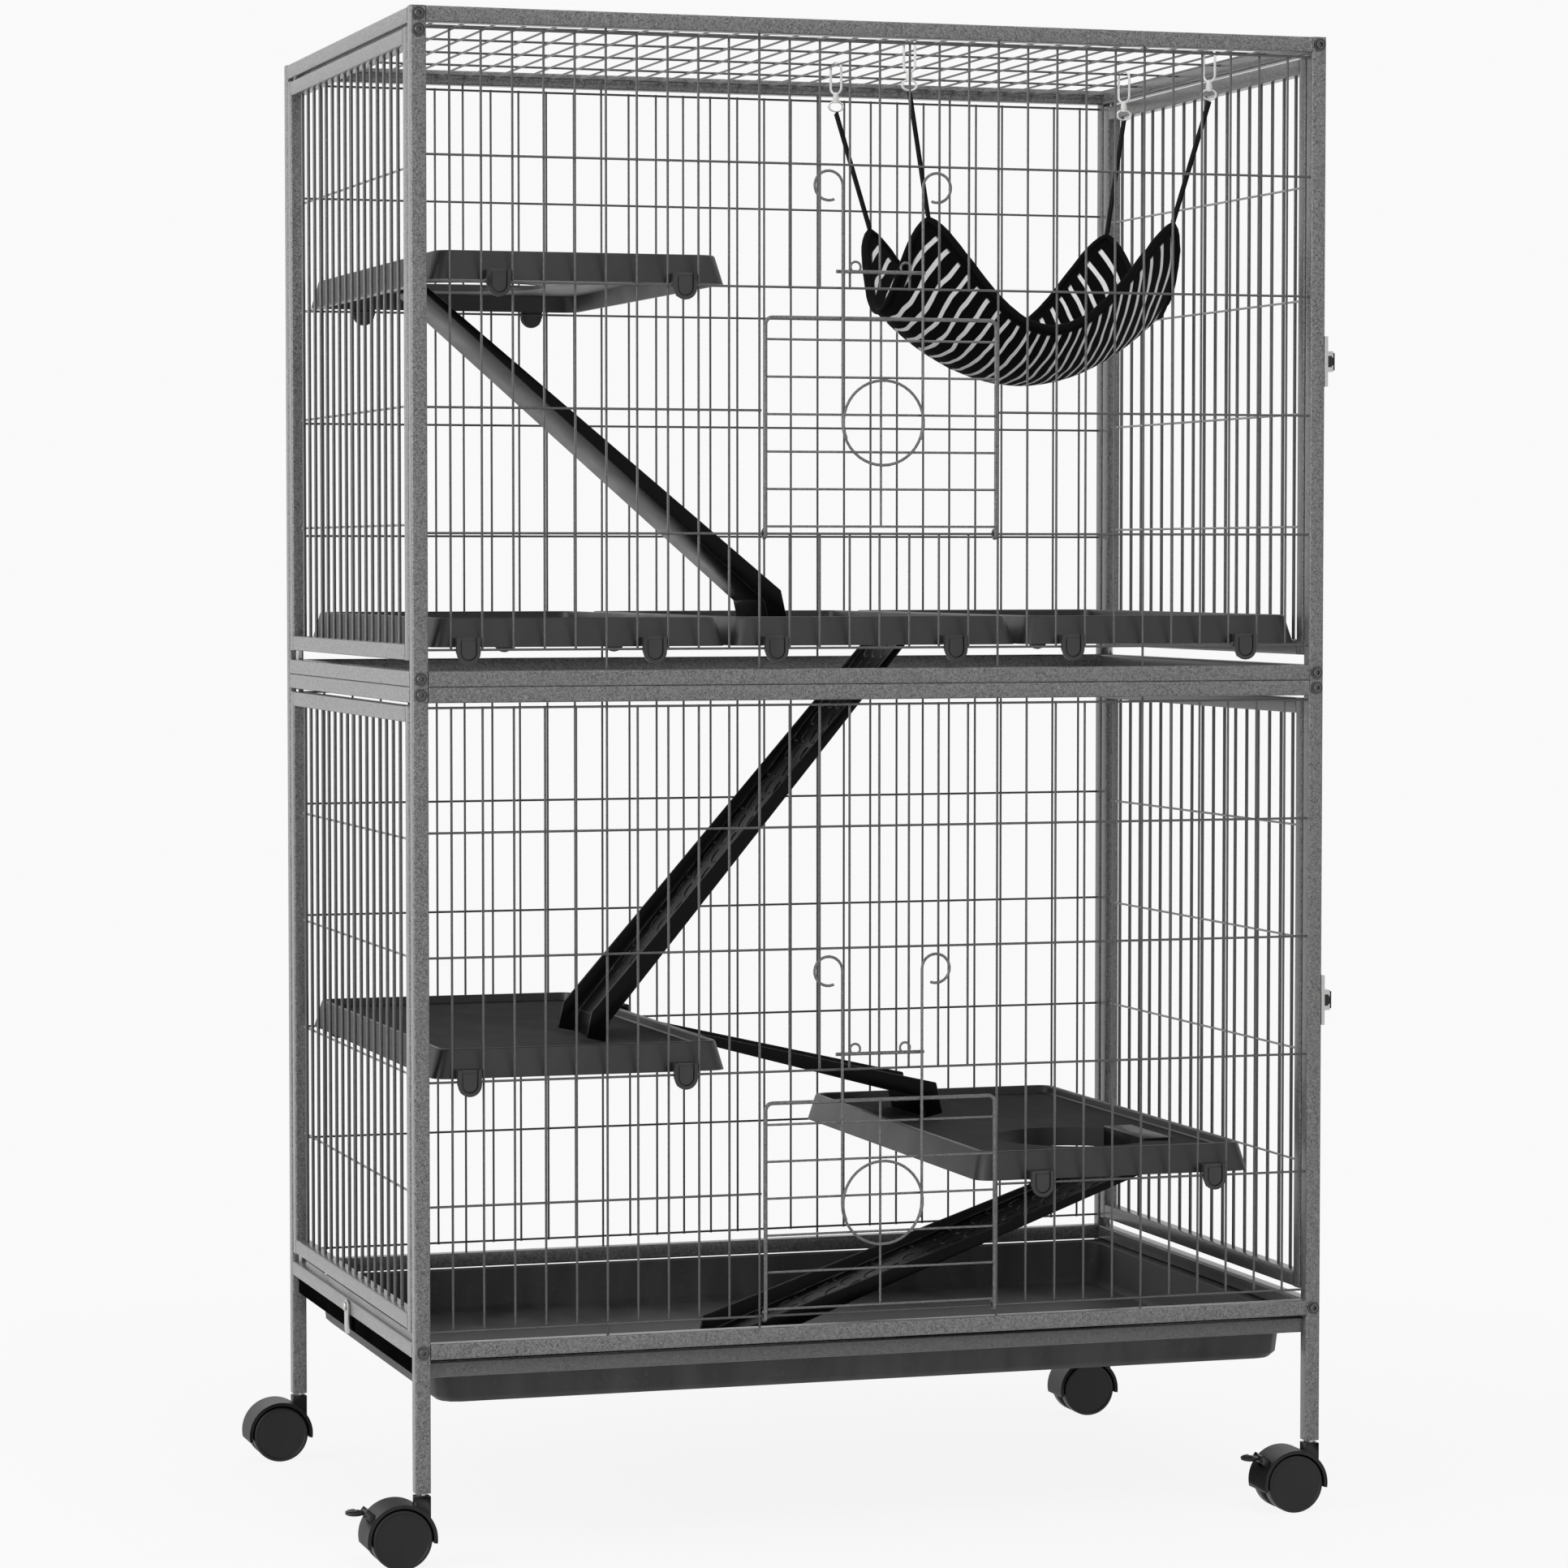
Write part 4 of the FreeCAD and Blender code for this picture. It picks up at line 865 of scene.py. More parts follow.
def spring_latch(bm, hinge):
    """A sprung wire: two curls, two arms and a ring of one and a half turns."""
    size = sizes()
    reach = size.latch_ring
    curl = size.curl_radius
    thick = size.latch_wire
    face = hinge - BACK * (size.loop_radius + size.door_wire / 2 + thick / 2)
    ring_middle = face + UP * size.latch_ring_lift
    curl_level = face + UP * (size.curl_top - curl)
    curl_turn = 292.5
    turn = math.radians(curl_turn)
    left = curl_level - RIGHT * (reach + curl)
    right = curl_level + RIGHT * (reach + curl)
    spoke = RIGHT * math.cos(turn) + UP * math.sin(turn)
    ring = new_ring(bm, left + spoke * curl, BACK.cross(spoke), thick / 2, size.facets)
    ring = turn_on(bm, ring, left, BACK, curl_turn)
    drop = UP * (ring_middle - curl_level).z
    ring = run_on(bm, ring, drop)
    ring = turn_on(bm, ring, ring_middle, -BACK, 180.0, 9.0)
    ring = run_on(bm, ring, -drop)
    ring = turn_on(bm, ring, right, BACK, curl_turn)
    close_ring(bm, ring)
    front = ring_middle - BACK * thick
    lap = math.radians(-22.5)
    spoke = RIGHT * math.cos(lap) + UP * math.sin(lap)
    ring = new_ring(bm, front + spoke * reach, spoke.cross(BACK), thick / 2, size.facets)
    ring = turn_on(bm, ring, front, -BACK, 225.0, 9.0)
    close_ring(bm, ring)


class CAGE_OT_front_doors(Operator):
    """Small front doors with eyes round the hinge wire, spring latches and keepers"""

    bl_idname = "cage.front_doors"
    bl_label = "Front Doors"

    def execute(self, context):
        size = sizes()
        for joint in frame["joints"]:
            body = joint["child"]
            if not body.startswith("front_"):
                continue
            hinge = Vector(joint["pos_m"])
            bm = bmesh.new()
            door_frame(bm, hinge)
            for low, high in solid_boxes(body):
                if min(high - low) < 1.2 * size.bar_wire:
                    add_wire_in_box(bm, low, high)
            keep(bm, body + "_wires", "door_paint", body, replaces=[body])
            bm = bmesh.new()
            spring_latch(bm, hinge)
            latch = body.replace("door", "latch")
            keep(bm, latch + "_spring", "door_paint", body, replaces=[latch])
        bm = bmesh.new()
        radius = size.bar_wire / 2
        for low, high in solid_boxes("front_latch_keepers"):
            if (high - low).x > size.latch_ring:
                add_wire_in_box(bm, low, high)
                continue
            middle = (low + high) / 2
            centre = Vector((middle.x, middle.y, high.z - radius - size.keeper_eye))
            gap = math.radians(50.0)
            spoke = RIGHT * math.cos(gap) - UP * math.sin(gap)
            ring = new_ring(bm, centre + spoke * size.keeper_eye, spoke.cross(BACK), radius, size.facets)
            close_ring(bm, turn_on(bm, ring, centre, -BACK, 270.0))
        keep(bm, "latch_keeper_bars", "door_paint", CAGE, replaces=["front_latch_keepers"])
        return {"FINISHED"}


class CAGE_OT_side_latches(Operator):
    """Plated slide latches of the side doors and the tray's lock"""

    bl_idname = "cage.side_latches"
    bl_label = "Latches and Tray Lock"

    def execute(self, context):
        for storey in ("upper", "lower"):
            plate = "right_%s_latch_plate" % storey
            soft_copy(plate, plate + "_pressed", "bright_steel", CAGE, FINE_EDGE)
            bolt = "right_%s_bolt" % storey
            soft_copy(bolt, bolt + "_knob", "caster_plastic", bolt, SMALL_EDGE)
        soft_copy("tray_lock_tab", "tray_lock_plate", "bright_steel", "tray_lock_tab", SMALL_EDGE, angle=60.0)
        soft_copy("tray_lock_rivet", "tray_lock_stud", "bright_steel", CAGE, SMALL_EDGE, angle=60.0)
        return {"FINISHED"}


def shelf_shell(low, high):
    """The skirt, rim and sunk deck of a shelf, open below; gives the mesh and the deck's height."""
    size = sizes()
    bm = bmesh.new()
    middle = (low + high) / 2
    add_box(bm, middle, high - low)
    half = (high - low) / 2
    draw_in(bm, [v for v in bm.verts if v.co.z > middle.z], middle, half, 0.0, size.shelf_flare)
    upright = [e for e in bm.edges if abs((e.verts[0].co - e.verts[1].co).z) > half.z]
    round_edges(bm, upright, size.shelf_corner, 6)
    bm.normal_update()
    bottom = [f for f in bm.faces if f.normal.z < -0.9]
    bmesh.ops.delete(bm, geom=bottom, context="FACES_ONLY")
    deck = [f for f in bm.faces if f.normal.z > 0.9][0]
    deck = sink(bm, deck, size.shelf_rim, UP * -size.shelf_recess)
    return bm, deck.calc_center_median().z


def round_rims(bm):
    """Rounds the outer and inner edges of a shelf's rim and the foot of its recess."""
    edges = [e for e in bm.edges if len(e.link_faces) == 2 and e.calc_face_angle() > math.radians(50)
             and abs((e.verts[0].co - e.verts[1].co).z) < MERGE]
    round_edges(bm, edges, sizes().shelf_round, 3)


def cut_hole(bm, face, centre, radius, drop):
    """Opens a round hole in a flat face, with a wall below it, and gives the wall's lowest ring of edges."""
    rim = list(face.edges)
    bmesh.ops.delete(bm, geom=[face], context="FACES_ONLY")
    made = bmesh.ops.create_circle(bm, cap_ends=False, segments=64, radius=radius, matrix=Matrix.Translation(centre))
    ring = edges_of(made["verts"])
    bmesh.ops.triangle_fill(bm, edges=rim + ring, use_beauty=True)
    return run_on(bm, ring, UP * -drop)


def shelf_underside(bm, low, high, under_z):
    """The lip, the inner skirt and the ceiling below a deck; gives the ceiling face."""
    size = sizes()
    middle = (low + high) / 2
    half = (high - low) / 2
    wall = size.shelf_wall
    ring = [e for e in bm.edges if e.is_boundary and max(v.co.z for v in e.verts) < low.z + wall]
    lip = run_on(bm, ring, Vector((0, 0, 0)))
    draw_in(bm, points_of(lip), middle, half, 0.0, wall)
    rise = under_z - low.z
    ceiling = run_on(bm, lip, UP * rise)
    draw_in(bm, points_of(ceiling), middle, half, wall, size.shelf_flare * rise / (high.z - low.z))
    return bmesh.ops.contextual_create(bm, geom=ceiling)["faces"][0]


class CAGE_OT_shelves(Operator):
    """Moulded shelves with flared skirts, rolled rims, sunk decks and ramp holes"""

    bl_idname = "cage.shelves"
    bl_label = "Shelves"

    def execute(self, context):
        size = sizes()
        holes = {"upper_left_shelf": -1, "mid_left_shelf": 0, "mid_centre_shelf": 1, "mid_right_shelf": 0,
                 "lower_left_shelf": 0, "lower_right_shelf": 1}
        for node, sign in holes.items():
            low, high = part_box(node)
            middle = (low + high) / 2
            bm, deck_z = shelf_shell(low, high)
            round_rims(bm)
            under_z = deck_z - size.shelf_wall
            ceiling = shelf_underside(bm, low, high, under_z)
            if sign:
                bm.normal_update()
                deck = [f for f in bm.faces if abs(f.calc_center_median().z - deck_z) < MERGE][0]
                centre = Vector((middle.x + sign * size.hole_x, middle.y - sign * size.hole_y, deck_z))
                foot_z = low.z if sign > 0 else deck_z - size.collar
                inner = cut_hole(bm, deck, centre, size.shelf_hole / 2, deck_z - foot_z)
                centre.z = under_z
                outer = cut_hole(bm, ceiling, centre, size.shelf_hole / 2 + size.shelf_wall, under_z - foot_z)
                bmesh.ops.bridge_loops(bm, edges=inner + outer)
            for face in bm.faces:
                if abs(face.calc_center_median().z - deck_z) < MERGE:
                    face.material_index = 1
            keep(bm, node + "_moulding", "shelf_plastic", CAGE, replaces=[node], second="deck_plastic")
        return {"FINISHED"}


class CAGE_OT_clips(Operator):
    """Clips that hook the shelves over the wires, each with a raised rim"""

    bl_idname = "cage.clips"
    bl_label = "Shelf Clips"

    def execute(self, context):
        size = sizes()
        bm = cad_copy("shelf_clips")
        soften(bm, FINE_EDGE, angle=60.0)
        for low, high in solid_boxes("shelf_clips"):
            out = -1 if low.y < 0 else 1
            face_y = low.y if out < 0 else high.y
            half = (high.x - low.x) / 2
            middle = Vector(((low.x + high.x) / 2, face_y, low.z + half))
            reach = half - size.clip_rim / 2
            part = bmesh.new()
            end = Vector((middle.x + reach, face_y + out * size.clip_proud / 2, high.z))
            add_box(part, end, (size.clip_rim, size.clip_proud, MERGE))
            foot = [f for f in part.faces if f.normal.z < -0.9]
            verts, last = pull(part, foot, UP * (middle.z - high.z))
            geom = last + list(dict.fromkeys(e for f in last for e in f.edges)) + verts
            made = bmesh.ops.spin(part, geom=geom, cent=middle, axis=BACK, dvec=(0, 0, 0), angle=math.pi, steps=10,
                                  use_merge=False)["geom_last"]
            pull(part, of_kind(made, bmesh.types.BMFace), UP * (high.z - middle.z))
            join(bm, part)
            self.add_tongue(bm, middle, half - size.clip_rim - size.clip_groove, high.z, out)
        keep(bm, "shelf_hook_clips", "shelf_plastic", CAGE, replaces=["shelf_clips"])
        return {"FINISHED"}

    def add_tongue(self, bm, middle, half, top, out):
        """A raised tongue with a round end, a groove's width inside the rim."""
        size = sizes()
        part = bmesh.new()
        bmesh.ops.create_circle(part, cap_ends=True, segments=20, radius=half, matrix=aligned(middle, BACK * out))
        face = part.faces[:][0]
        for vert in face.verts:
            if vert.co.z > middle.z + MERGE:
                vert.co.z = top - size.clip_rim
                vert.co.x = middle.x + math.copysign(half, vert.co.x - middle.x)
        bmesh.ops.remove_doubles(part, verts=part.verts, dist=MERGE)
        pull(part, part.faces[:], BACK * out * size.clip_proud * 0.8)
        join(bm, part)


class CAGE_OT_ramps(Operator):
    """Moulded ramps with curved cleats on their treads"""

    bl_idname = "cage.ramps"
    bl_label = "Ramps"

    def execute(self, context):
        for node in ("upper_ramp", "middle_ramp", "bridge_ramp", "lower_ramp"):
            bm = cad_copy(node)
            bm.normal_update()
            treads = [f for f in bm.faces if 0.3 < f.normal.z < 0.97]
            tread = max(treads, key=lambda f: f.calc_area())
            normal = tread.normal.copy()
            places = [v.co.copy() for v in tread.verts]
            # Rounded wall edges are noted, and the ramp finish paints a highlight along them.
            soften(bm, RAMP_EDGE, angle=20.0)
            self.add_cleats(bm, normal, places)
            keep(bm, node + "_channel", "ramp_plastic", CAGE, replaces=[node])
        return {"FINISHED"}

    def add_cleats(self, bm, normal, places):
        """Rows of curved ridges, every other row set over by half a step."""
        size = sizes()
        across = BACK
        along = normal.cross(across).normalized()
        if along.z > 0:
            along = -along
        spans = []
        for axis in (along, across):
            shares = [p.dot(axis) for p in places]
            spans.append((min(shares), max(shares)))
        level = places[0].dot(normal)
        pitch = size.cleat_pitch
        radius = size.cleat_radius
        rows = int((spans[0][1] - spans[0][0]) / pitch) - 1
        step = 2 * radius + size.cleat_height
        count = int((spans[1][1] - spans[1][0]) / step)
        for row in range(1, rows):
            for place in range(count - row % 2):
                side = (place - (count - 1 - row % 2) / 2) * step
                spot = along * (spans[0][0] + row * pitch) + across * (sum(spans[1]) / 2 + side) + normal * level
                self.add_cleat(bm, spot, along, across, normal)

    def add_cleat(self, bm, spot, along, across, normal):
        """One half-round ridge bent into an arc."""
        size = sizes()
        high = size.cleat_height
        out = (across - along * 0.35).normalized()
        rim = spot + out * size.cleat_radius
        verts = [bm.verts.new(rim + out * high), bm.verts.new(rim + normal * high), bm.verts.new(rim - out * high)]
        # The ridge top is marked like a rubbed edge, so the ramp finish paints a highlight along it.
        verts[1][bm.verts.layers.float["Edge"]] = 1.0
        edges = [bm.edges.new((verts[0], verts[1])), bm.edges.new((verts[1], verts[2]))]
        ends = [bm.faces.new(verts)]
        edges.append([e for e in ends[0].edges if e not in edges][0])
        bmesh.ops.spin(bm, geom=verts + edges + ends, cent=spot, axis=normal, dvec=(0, 0, 0),
                       angle=self.arc_turn(along, across, normal), steps=6, use_merge=False)

    def arc_turn(self, along, across, normal):
        """The turn that sweeps a ridge over the downhill side."""
        turn = math.radians(140.0)
        return turn if normal.cross(across).dot(along) > 0 else -turn


class CAGE_OT_tray(Operator):
    """Moulded tray with soft edges and painted shadow on its end lips"""

    bl_idname = "cage.tray"
    bl_label = "Tray"

    def execute(self, context):
        bm = cad_copy("tray")
        soften(bm, TRAY_EDGE, angle=50.0)
        # Faces at the tray's ends take the second finish: painted shadow in the gap under the base rails.
        end_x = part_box("tray")[1].x - 2 * sizes().shelf_wall
        for face in bm.faces:
            if abs(face.calc_center_median().x) > end_x:
                face.material_index = 1
        keep(bm, "tray_moulding", "tray_plastic", "tray", replaces=["tray"], second="shaded_plastic")
        return {"FINISHED"}


class CAGE_OT_casters(Operator):
    """Twin-wheel casters with hoods, stems and brake levers"""

    bl_idname = "cage.casters"
    bl_label = "Casters"

    def execute(self, context):
        for corner in CORNERS:
            node = "caster_wheels_" + corner
            low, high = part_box(node)
            bm = bmesh.new()
            self.add_wheels(bm, low, high)
            keep(bm, node + "_turned", "caster_plastic", "wheels_" + corner, replaces=[node])
            node = "caster_housing_" + corner
            bm = cad_copy(node)
            for radius in (sizes().hood_inner, sizes().hood_outer):
                self.round_arc(bm, (low + high) / 2, radius)
            soften(bm, HOOD_EDGE, angle=40.0)
            keep(bm, node + "_hood", "caster_plastic", "caster_" + corner, replaces=[node])
            node = "brake_lever_" + corner
            if node in NODES:
                bm = bmesh.new()
                self.add_lever(bm, *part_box(node))
                keep(bm, node + "_leaf", "caster_plastic", node, replaces=[node])
        soft_copy("caster_stems", "caster_stem_plugs", "bright_steel", CAGE, FINE_EDGE, angle=50.0)
        return {"FINISHED"}

    def round_arc(self, bm, middle, radius):
        """Puts more corners into the arcs of a hood and moves them out to its radius."""
        def spoke(vert):
            return Vector((vert.co.x - middle.x, 0, vert.co.z - middle.z))

        arcs = [e for e in bm.edges if abs((e.verts[0].co - e.verts[1].co).y) < MERGE
                and all(abs(spoke(v).length - radius) < sizes().tube_wall / 10 for v in e.verts)]
        made = bmesh.ops.subdivide_edges(bm, edges=arcs, cuts=2, use_grid_fill=True)["geom_inner"]
        for vert in [g for g in made if isinstance(g, bmesh.types.BMVert)]:
            out = spoke(vert)
            vert.co += out * (radius / out.length - 1)

    def add_lever(self, bm, low, high):
        """A leaf-shaped foot lever with ridges on its outer half and a boss on its pin."""
        size = sizes()
        middle = (low + high) / 2
        boss = size.lever_boss
        pivot = Vector((high.x - boss, middle.y, low.z + boss))
        add_rod(bm, Vector((pivot.x, low.y, pivot.z)), Vector((pivot.x, high.y, pivot.z)), boss, 20)
        half = Vector((size.lever_leaf / 2, (high.y - low.y) / 2, boss * 0.75))
        centre = pivot - RIGHT * (half.x + boss * 0.4) + UP * boss * 0.3
        bmesh.ops.create_uvsphere(bm, u_segments=24, v_segments=12, radius=1.0,
                                  matrix=Matrix.Translation(centre) @ Matrix.Diagonal((*half, 1.0)))
        for step in range(6):
            share = -0.85 + 0.17 * step
            reach = half.y * math.sqrt(1 - share * share) * 0.8
            top = half.z * math.sqrt(1 - share * share) * 0.8
            spot = centre + Vector((share * half.x, 0, top))
            add_rod(bm, spot - BACK * reach, spot + BACK * reach, boss * 0.2, 6)

    def add_wheels(self, bm, low, high):
        """Two dished discs with rounded treads on one axle."""
        middle = (low + high) / 2
        radius = (high.z - low.z) / 2
        far = (high.y - low.y) / 2
        near = far - WHEEL_WIDTH
        edge = TREAD_EDGE
        steps = [math.radians(90 * i / 4) for i in range(5)]
        rim = [(radius - edge + edge * math.sin(a), far - edge + edge * math.cos(a)) for a in steps]
        inner = [(radius - edge + edge * math.cos(a), near + edge - edge * math.sin(a)) for a in steps]
        dish = [(0.0, far - DISH_DEPTH), (radius * 0.86, far - DISH_DEPTH), (radius * 0.885, far)]
        profile = dish + rim + inner + [(AXLE_RADIUS, near), (AXLE_RADIUS, 0.0)]
        for way in (BACK, -BACK):
            part = bmesh.new()
            lathe(part, profile, middle, way, 48)
            join(bm, part)
        bmesh.ops.remove_doubles(bm, verts=bm.verts, dist=MERGE)


class CAGE_OT_bolts(Operator):
    """Socket-headed bolts that hold the rails to the posts"""

    bl_idname = "cage.bolts"
    bl_label = "Frame Bolts"

    def execute(self, context):
        low, high = POST_BOX
        levels = [sum(c.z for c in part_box(node)) / 2
                  for node in ("top_rails", "mid_upper_rails", "mid_lower_rails", "base_rails")]
        bm = bmesh.new()
        for sx, sy in CORNERS.values():
            for level in levels:
                face = Vector((sx * POST_X, sy * -low.y, level))
                self.add_bolt(bm, face, BACK * sy)
        extra = Vector((-POST_X, low.y, 2 * levels[0] - high.z - (high.x - low.x) / 2))
        self.add_bolt(bm, extra, -BACK)
        keep(bm, "frame_bolts", "dark_steel", CAGE)
        return {"FINISHED"}

    def add_bolt(self, bm, face, out):
        """A washer rim, a domed head and a deep socket."""
        size = sizes()
        radius = size.bolt_head / 2
        high = size.bolt_height
        shares = [(0.0, 0.15), (0.36, 0.15), (0.38, 0.95), (0.55, 1.0), (0.68, 0.8), (0.72, 0.3), (0.82, 0.3),
                  (0.86, 0.55), (0.97, 0.5), (1.0, 0.3), (1.0, 0.0)]
        part = bmesh.new()
        lathe(part, [(radius * across, high * up) for across, up in shares], face, out, 18)
        join(bm, part)


class CAGE_OT_hammock(Operator):
    """Hung plush hammock with bound edges, straps and snap hooks"""

    bl_idname = "cage.hammock"
    bl_label = "Hammock"

    columns = 48
    rows = 36
    flat = (0.340, 0.270)

    def execute(self, context):
        cloth = self.hang_sheet()
        self.settle(cloth)
        binding = self.bind_edge(cloth)
        cover = cloth.modifiers.new("Plush", "SOLIDIFY")
        cover.thickness = sizes().hammock_thick
        cover.offset = 0.0
        smooth = cloth.modifiers.new("Smooth", "SUBSURF")
        smooth.levels = 1
        smooth.render_levels = 1
        straps = self.straps()
        self.hooks()
        return {"FINISHED"}

    def hang_sheet(self):
        """A sheet that sags between its four round corners."""
        size = sizes()
        low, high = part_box("hammock")
        middle = (low + high) / 2
        level = low.z + size.hammock_thick / 2
        bm = bmesh.new()
        chart = bm.loops.layers.uv.new("Cloth")
        bmesh.ops.create_grid(bm, x_segments=self.columns, y_segments=self.rows, size=1.0)
        for face in bm.faces:
            for loop in face.loops:
                loop[chart].uv = (loop.vert.co.x * self.flat[0] / 2, loop.vert.co.y * self.flat[1] / 2)
        for vert in bm.verts:
            u = vert.co.x * (1 - abs(vert.co.y) ** 6 / 12)
            v = vert.co.y * (1 - abs(vert.co.x) ** 6 / 8)
            fall = 1 - u * u
            edge = level + size.hammock_sag - size.edge_sag * fall
            lowest = level + (size.hammock_sag - size.end_sag) * (1 - fall)
            dip = 1 - v * v
            vert.co = (middle.x + u * (size.hammock_length / 2 + size.end_bow * dip),
                       middle.y + v * (size.hammock_width / 2 - size.waist * fall), edge + (lowest - edge) * dip)
        return keep(bm, "hammock_sheet", "hammock_cloth", CAGE, replaces=["hammock"], smooth=180.0)

    def settle(self, piece):
        """Lets the cloth pull tight between its held corners under its own weight."""
        scene = bpy.context.scene
        held = piece.vertex_groups.new(name="Held")
        top = sorted(piece.data.vertices, key=lambda vert: -vert.co.z)
        held.add([vert.index for vert in top[:HELD_POINTS]], 1.0, "REPLACE")
        fold = piece.modifiers.new("Settle", "CLOTH")
        fold.settings.quality = 8
        fold.settings.mass = 0.0004
        fold.settings.tension_stiffness = 30.0
        fold.settings.compression_stiffness = 8.0
        fold.settings.shear_stiffness = 12.0
        fold.settings.bending_stiffness = 0.6
        fold.settings.vertex_group_mass = "Held"
        fold.settings.effector_weights.gravity = 0.25
        fold.collision_settings.use_collision = False
        fold.collision_settings.use_self_collision = False
        fold.point_cache.frame_start = 1
        fold.point_cache.frame_end = SETTLE_FRAMES
        for step in range(1, SETTLE_FRAMES + 1):
            scene.frame_set(step)
        settled = bpy.data.meshes.new_from_object(piece.evaluated_get(bpy.context.evaluated_depsgraph_get()))
        places = [vert.co.copy() for vert in settled.vertices]
        bpy.data.meshes.remove(settled)
        piece.modifiers.remove(fold)
        piece.vertex_groups.remove(held)
        scene.frame_set(1)
        for vert, place in zip(piece.data.vertices, places):
            vert.co = place

    def bind_edge(self, cloth):
        """Dark tape round the edge of the sheet."""
        bm = bmesh.new()
        bm.from_mesh(cloth.data)
        last = [e for e in bm.edges if e.is_boundary][0]
        first, vert = last.verts
        line = [first.co.copy()]
        while vert is not first:
            line.append(vert.co.copy())
            last = [e for e in vert.link_edges if e.is_boundary and e is not last][0]
            vert = last.other_vert(vert)
        bm.free()
        bm = bmesh.new()
        sweep_round(bm, line, sizes().binding, sizes().facets)
        self.tape_map(bm)
        return keep(bm, "hammock_binding", "strap_webbing", CAGE, smooth=180.0)

    def tape_map(self, bm):
        """A map in metres for the weave."""
        chart = bm.loops.layers.uv.new("Tape")
        for face in bm.faces:
            for loop in face.loops:
                loop[chart].uv = (loop.vert.co.x + loop.vert.co.y, loop.vert.co.z)

    def straps(self):
        """Four flat bands from the hooks to the corners."""
        bm = cad_copy("hammock_straps")
        soften(bm, SMALL_EDGE)
        self.tape_map(bm)
        return keep(bm, "hammock_strap_bands", "strap_webbing", CAGE, replaces=["hammock_straps"])

    def hooks(self):
        """Snap hooks of clear plastic on the roof wires: a long loop, a swivel barrel and an eye."""
        size = sizes()
        wire = size.hook_wire
        bm = bmesh.new()
        for low, high in solid_boxes("snap_hooks"):
            middle = (low + high) / 2
            radius = (high.x - low.x) / 2 - wire / 2
            if (high.z - low.z) < 2 * (high.x - low.x):
                part = bmesh.new()
                ring = new_ring(part, middle + RIGHT * radius, UP, wire / 2, size.facets)
                close_ring(part, turn_on(part, ring, middle, -BACK, 357.0, 12.0))
                foot = Vector((middle.x, middle.y, low.z))
                bmesh.ops.scale(part, vec=(1, 1, size.ring_flat), space=Matrix.Translation(-foot), verts=part.verts)
                join(bm, part)
                drop = (high.z - low.z) * (1 - size.ring_flat) + wire
                crown = Vector((middle.x, middle.y, high.z))
                barrel = [(0.0, -drop), (wire, -drop), (wire * 1.3, -drop / 2), (wire, wire), (0.0, wire)]
                lathe(bm, barrel, crown, UP, 16)
                continue
            turn = math.radians(40.0)
            across = Vector((-math.sin(turn), math.cos(turn), 0))
            half = size.hook_half
            run = UP * ((high.z - low.z) / 2 - wire / 2 - half)
            ring = new_ring(bm, middle + across * half, UP, wire / 2, size.facets)
            ring = run_on(bm, ring, run)
            facing = across.cross(UP)
            ring = turn_on(bm, ring, middle + run, facing, 180.0)
            ring = run_on(bm, ring, run * -2)
            ring = turn_on(bm, ring, middle - run, facing, 180.0)
            close_ring(bm, run_on(bm, ring, run * 0.96))
        keep(bm, "hammock_snap_hooks", "hook_plastic", CAGE, replaces=["snap_hooks"])


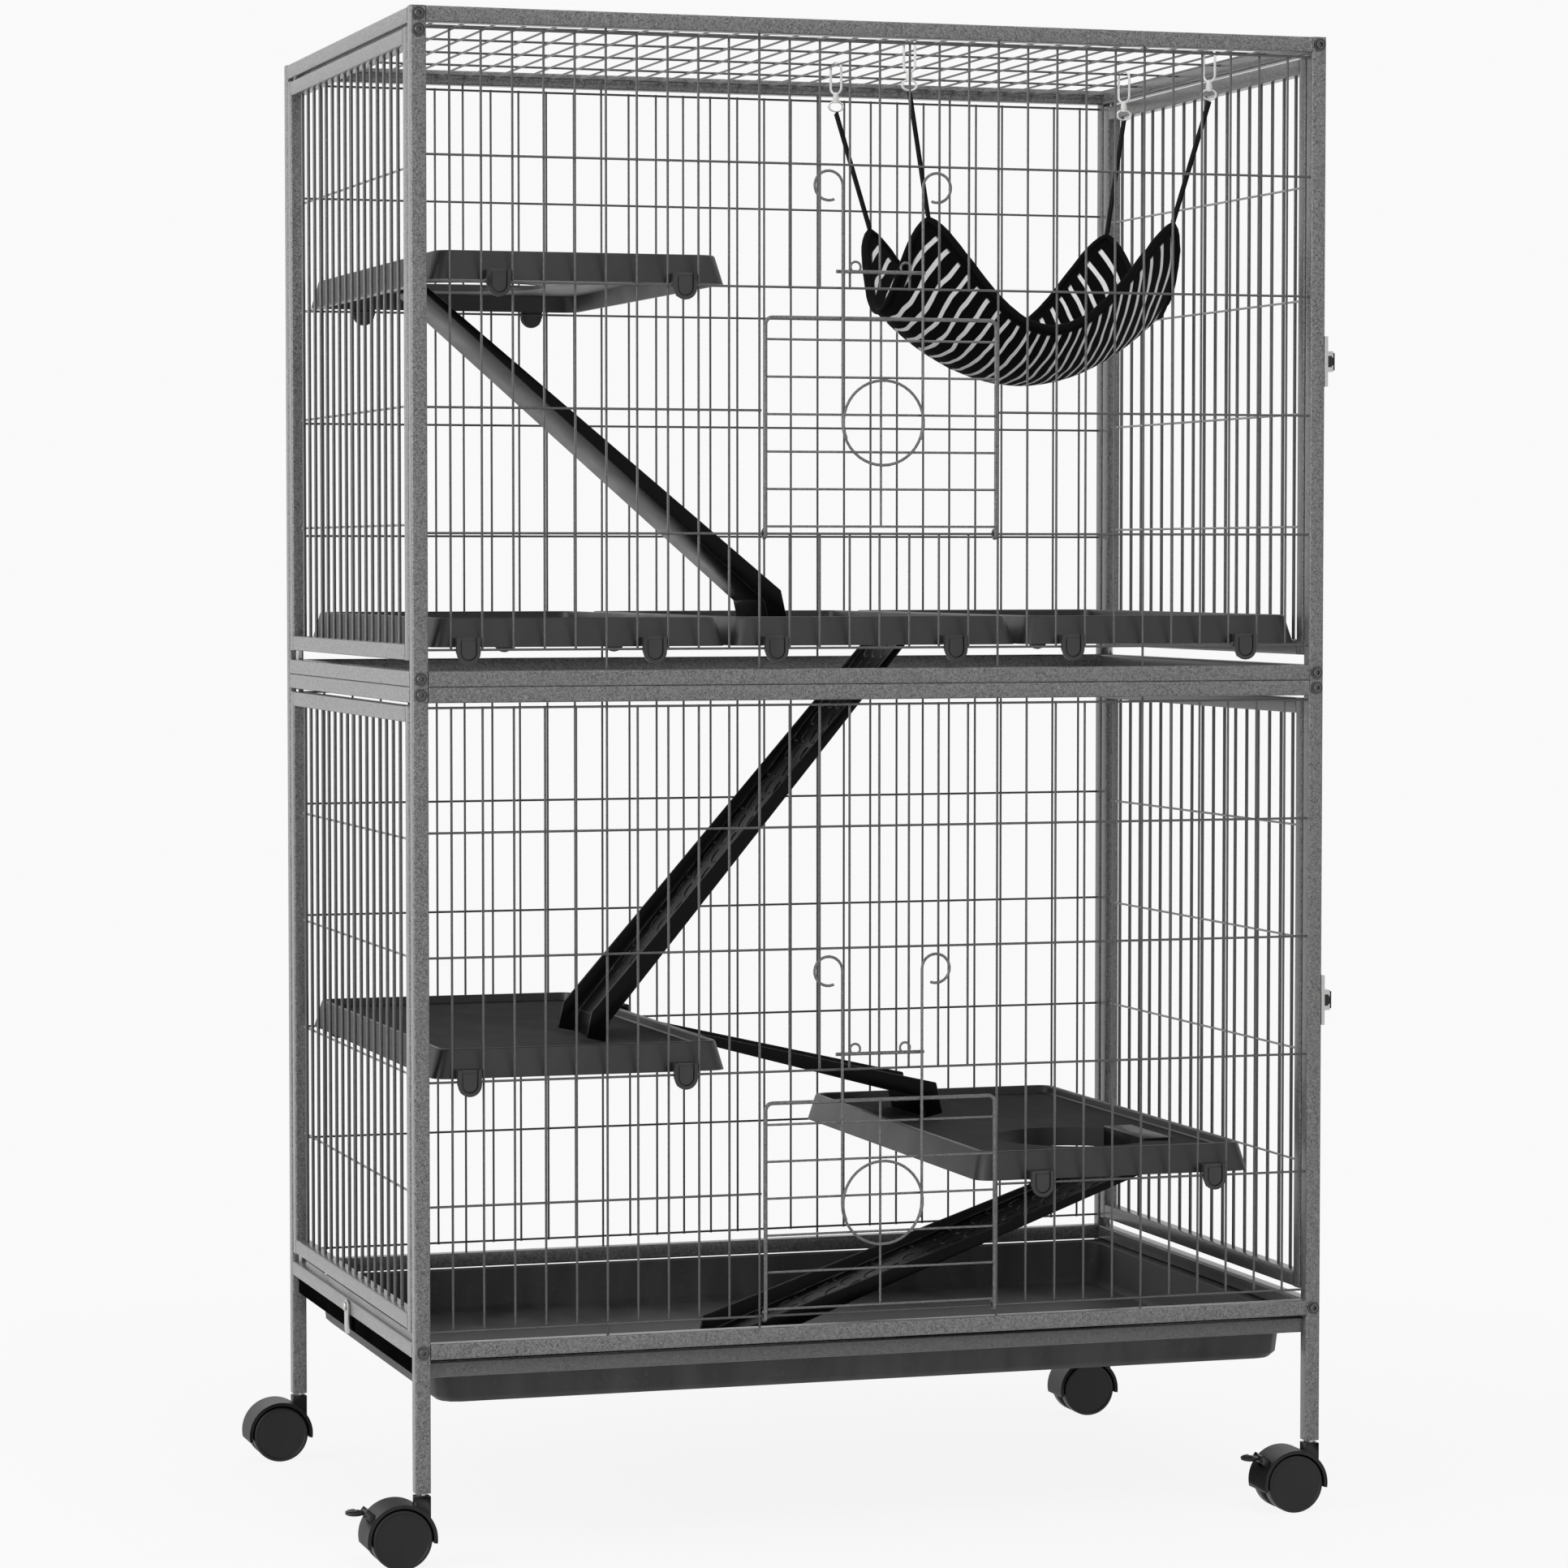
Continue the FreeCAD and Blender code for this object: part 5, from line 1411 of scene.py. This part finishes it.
class CAGE_OT_stage(Operator):
    """Pale floor, soft studio light and the camera"""

    bl_idname = "cage.stage"
    bl_label = "Stage"

    def execute(self, context):
        self.floor()
        self.world()
        self.lamps()
        self.camera()
        context.scene.view_settings.view_transform = "Standard"
        return {"FINISHED"}

    def floor(self):
        """A pale disc that fades into the background."""
        bm = bmesh.new()
        bmesh.ops.create_circle(bm, cap_ends=True, segments=96, radius=60.0)
        mesh = bpy.data.meshes.new("floor")
        bm.to_mesh(mesh)
        bm.free()
        floor = new_object("floor", mesh)
        material, tree, shader = start_material("floor_paper")
        shader.inputs["Base Color"].default_value = (*colours().floor, 1.0)
        shader.inputs["Roughness"].default_value = 0.9
        shader.inputs["Specular IOR Level"].default_value = 0.1
        glow = add_node(tree, "ShaderNodeEmission")
        glow.inputs["Color"].default_value = PAPER_WHITE
        path = add_node(tree, "ShaderNodeLightPath")
        place = add_node(tree, "ShaderNodeTexCoord")
        away = add_node(tree, "ShaderNodeVectorMath", operation="LENGTH")
        tree.links.new(place.outputs["Object"], away.inputs[0])
        far = map_range(tree, away.outputs["Value"], 0.4, 1.3, 0.93, 1.0)
        seen = math_node(tree, "MAXIMUM", path.outputs["Is Camera Ray"], path.outputs["Is Glossy Ray"])
        blend_shaders(tree, math_node(tree, "MULTIPLY", far, seen), shader, glow, "Material Output")
        mesh.materials.append(material)

    def world(self):
        """White where it is seen or mirrored, softer as light."""
        world = bpy.data.worlds.new("studio")
        bpy.context.scene.world = world
        world.use_nodes = True
        tree = world.node_tree
        soft = tree.nodes["Background"]
        soft.inputs["Color"].default_value = (1.0, 1.0, 1.0, 1.0)
        soft.inputs["Strength"].default_value = SOFT_LIGHT
        white = add_node(tree, "ShaderNodeBackground")
        white.inputs["Color"].default_value = PAPER_WHITE
        path = add_node(tree, "ShaderNodeLightPath")
        seen = math_node(tree, "MAXIMUM", path.outputs["Is Camera Ray"], path.outputs["Is Transmission Ray"])
        seen = math_node(tree, "MAXIMUM", seen, path.outputs["Is Glossy Ray"])
        blend_shaders(tree, seen, soft, white, "World Output")

    def lamps(self):
        """A large key at the left, a fill from the front and a soft top light."""
        for name, (place, width, power) in LAMPS.items():
            lamp = bpy.data.lights.new(name, "AREA")
            lamp.shape = "SQUARE"
            lamp.size = width
            lamp.energy = power
            holder = self.aim(new_object(name, lamp), place, LAMP_AIM - Vector(place))
            holder.visible_glossy = name == "key"

    def camera(self):
        """The camera at the photograph's angle."""
        eye = bpy.data.cameras.new("camera")
        eye.sensor_fit = "HORIZONTAL"
        eye.sensor_width = 36.0
        eye.lens = EYE_LENS
        level = math.cos(EYE_PITCH)
        heading = Vector((math.sin(EYE_YAW) * level, math.cos(EYE_YAW) * level, -math.sin(EYE_PITCH)))
        bpy.context.scene.camera = self.aim(new_object("camera", eye), EYE_PLACE, heading)

    def aim(self, holder, place, heading):
        """Puts a lamp or the camera at a place, looking along a heading."""
        holder.location = place
        holder.rotation_euler = heading.to_track_quat("-Z", "Y").to_euler()
        return holder


PIECES = (CAGE_OT_frame, CAGE_OT_wire_walls, CAGE_OT_sides, CAGE_OT_front_doors, CAGE_OT_side_latches,
          CAGE_OT_shelves, CAGE_OT_clips, CAGE_OT_ramps, CAGE_OT_tray, CAGE_OT_casters, CAGE_OT_bolts,
          CAGE_OT_hammock, CAGE_OT_stage)


class CAGE_PT_looks(Panel):
    """The cage's pieces, sizes and colours"""

    bl_idname = "CAGE_PT_looks"
    bl_label = "Cage"
    bl_space_type = "VIEW_3D"
    bl_region_type = "UI"
    bl_category = "Cage"

    def draw(self, context):
        layout = self.layout
        for piece in PIECES:
            layout.operator(piece.bl_idname)
        for group in (context.scene.cage_sizes, context.scene.cage_colours):
            for key in group.__annotations__:
                layout.prop(group, key)


CLASSES = (CageSizes, CageColours, *PIECES, CAGE_PT_looks)


def register():
    """Adds the classes and the settings."""
    for item in CLASSES:
        bpy.utils.register_class(item)
    bpy.types.Scene.cage_sizes = PointerProperty(type=CageSizes)
    bpy.types.Scene.cage_colours = PointerProperty(type=CageColours)


def unregister():
    """Takes the classes and the settings away again."""
    del bpy.types.Scene.cage_colours
    del bpy.types.Scene.cage_sizes
    for item in reversed(CLASSES):
        bpy.utils.unregister_class(item)


def main():
    """Builds every piece in order."""
    register()
    for piece in PIECES:
        group, name = piece.bl_idname.split(".")
        getattr(getattr(bpy.ops, group), name)()


if __name__ == "__main__":
    main()
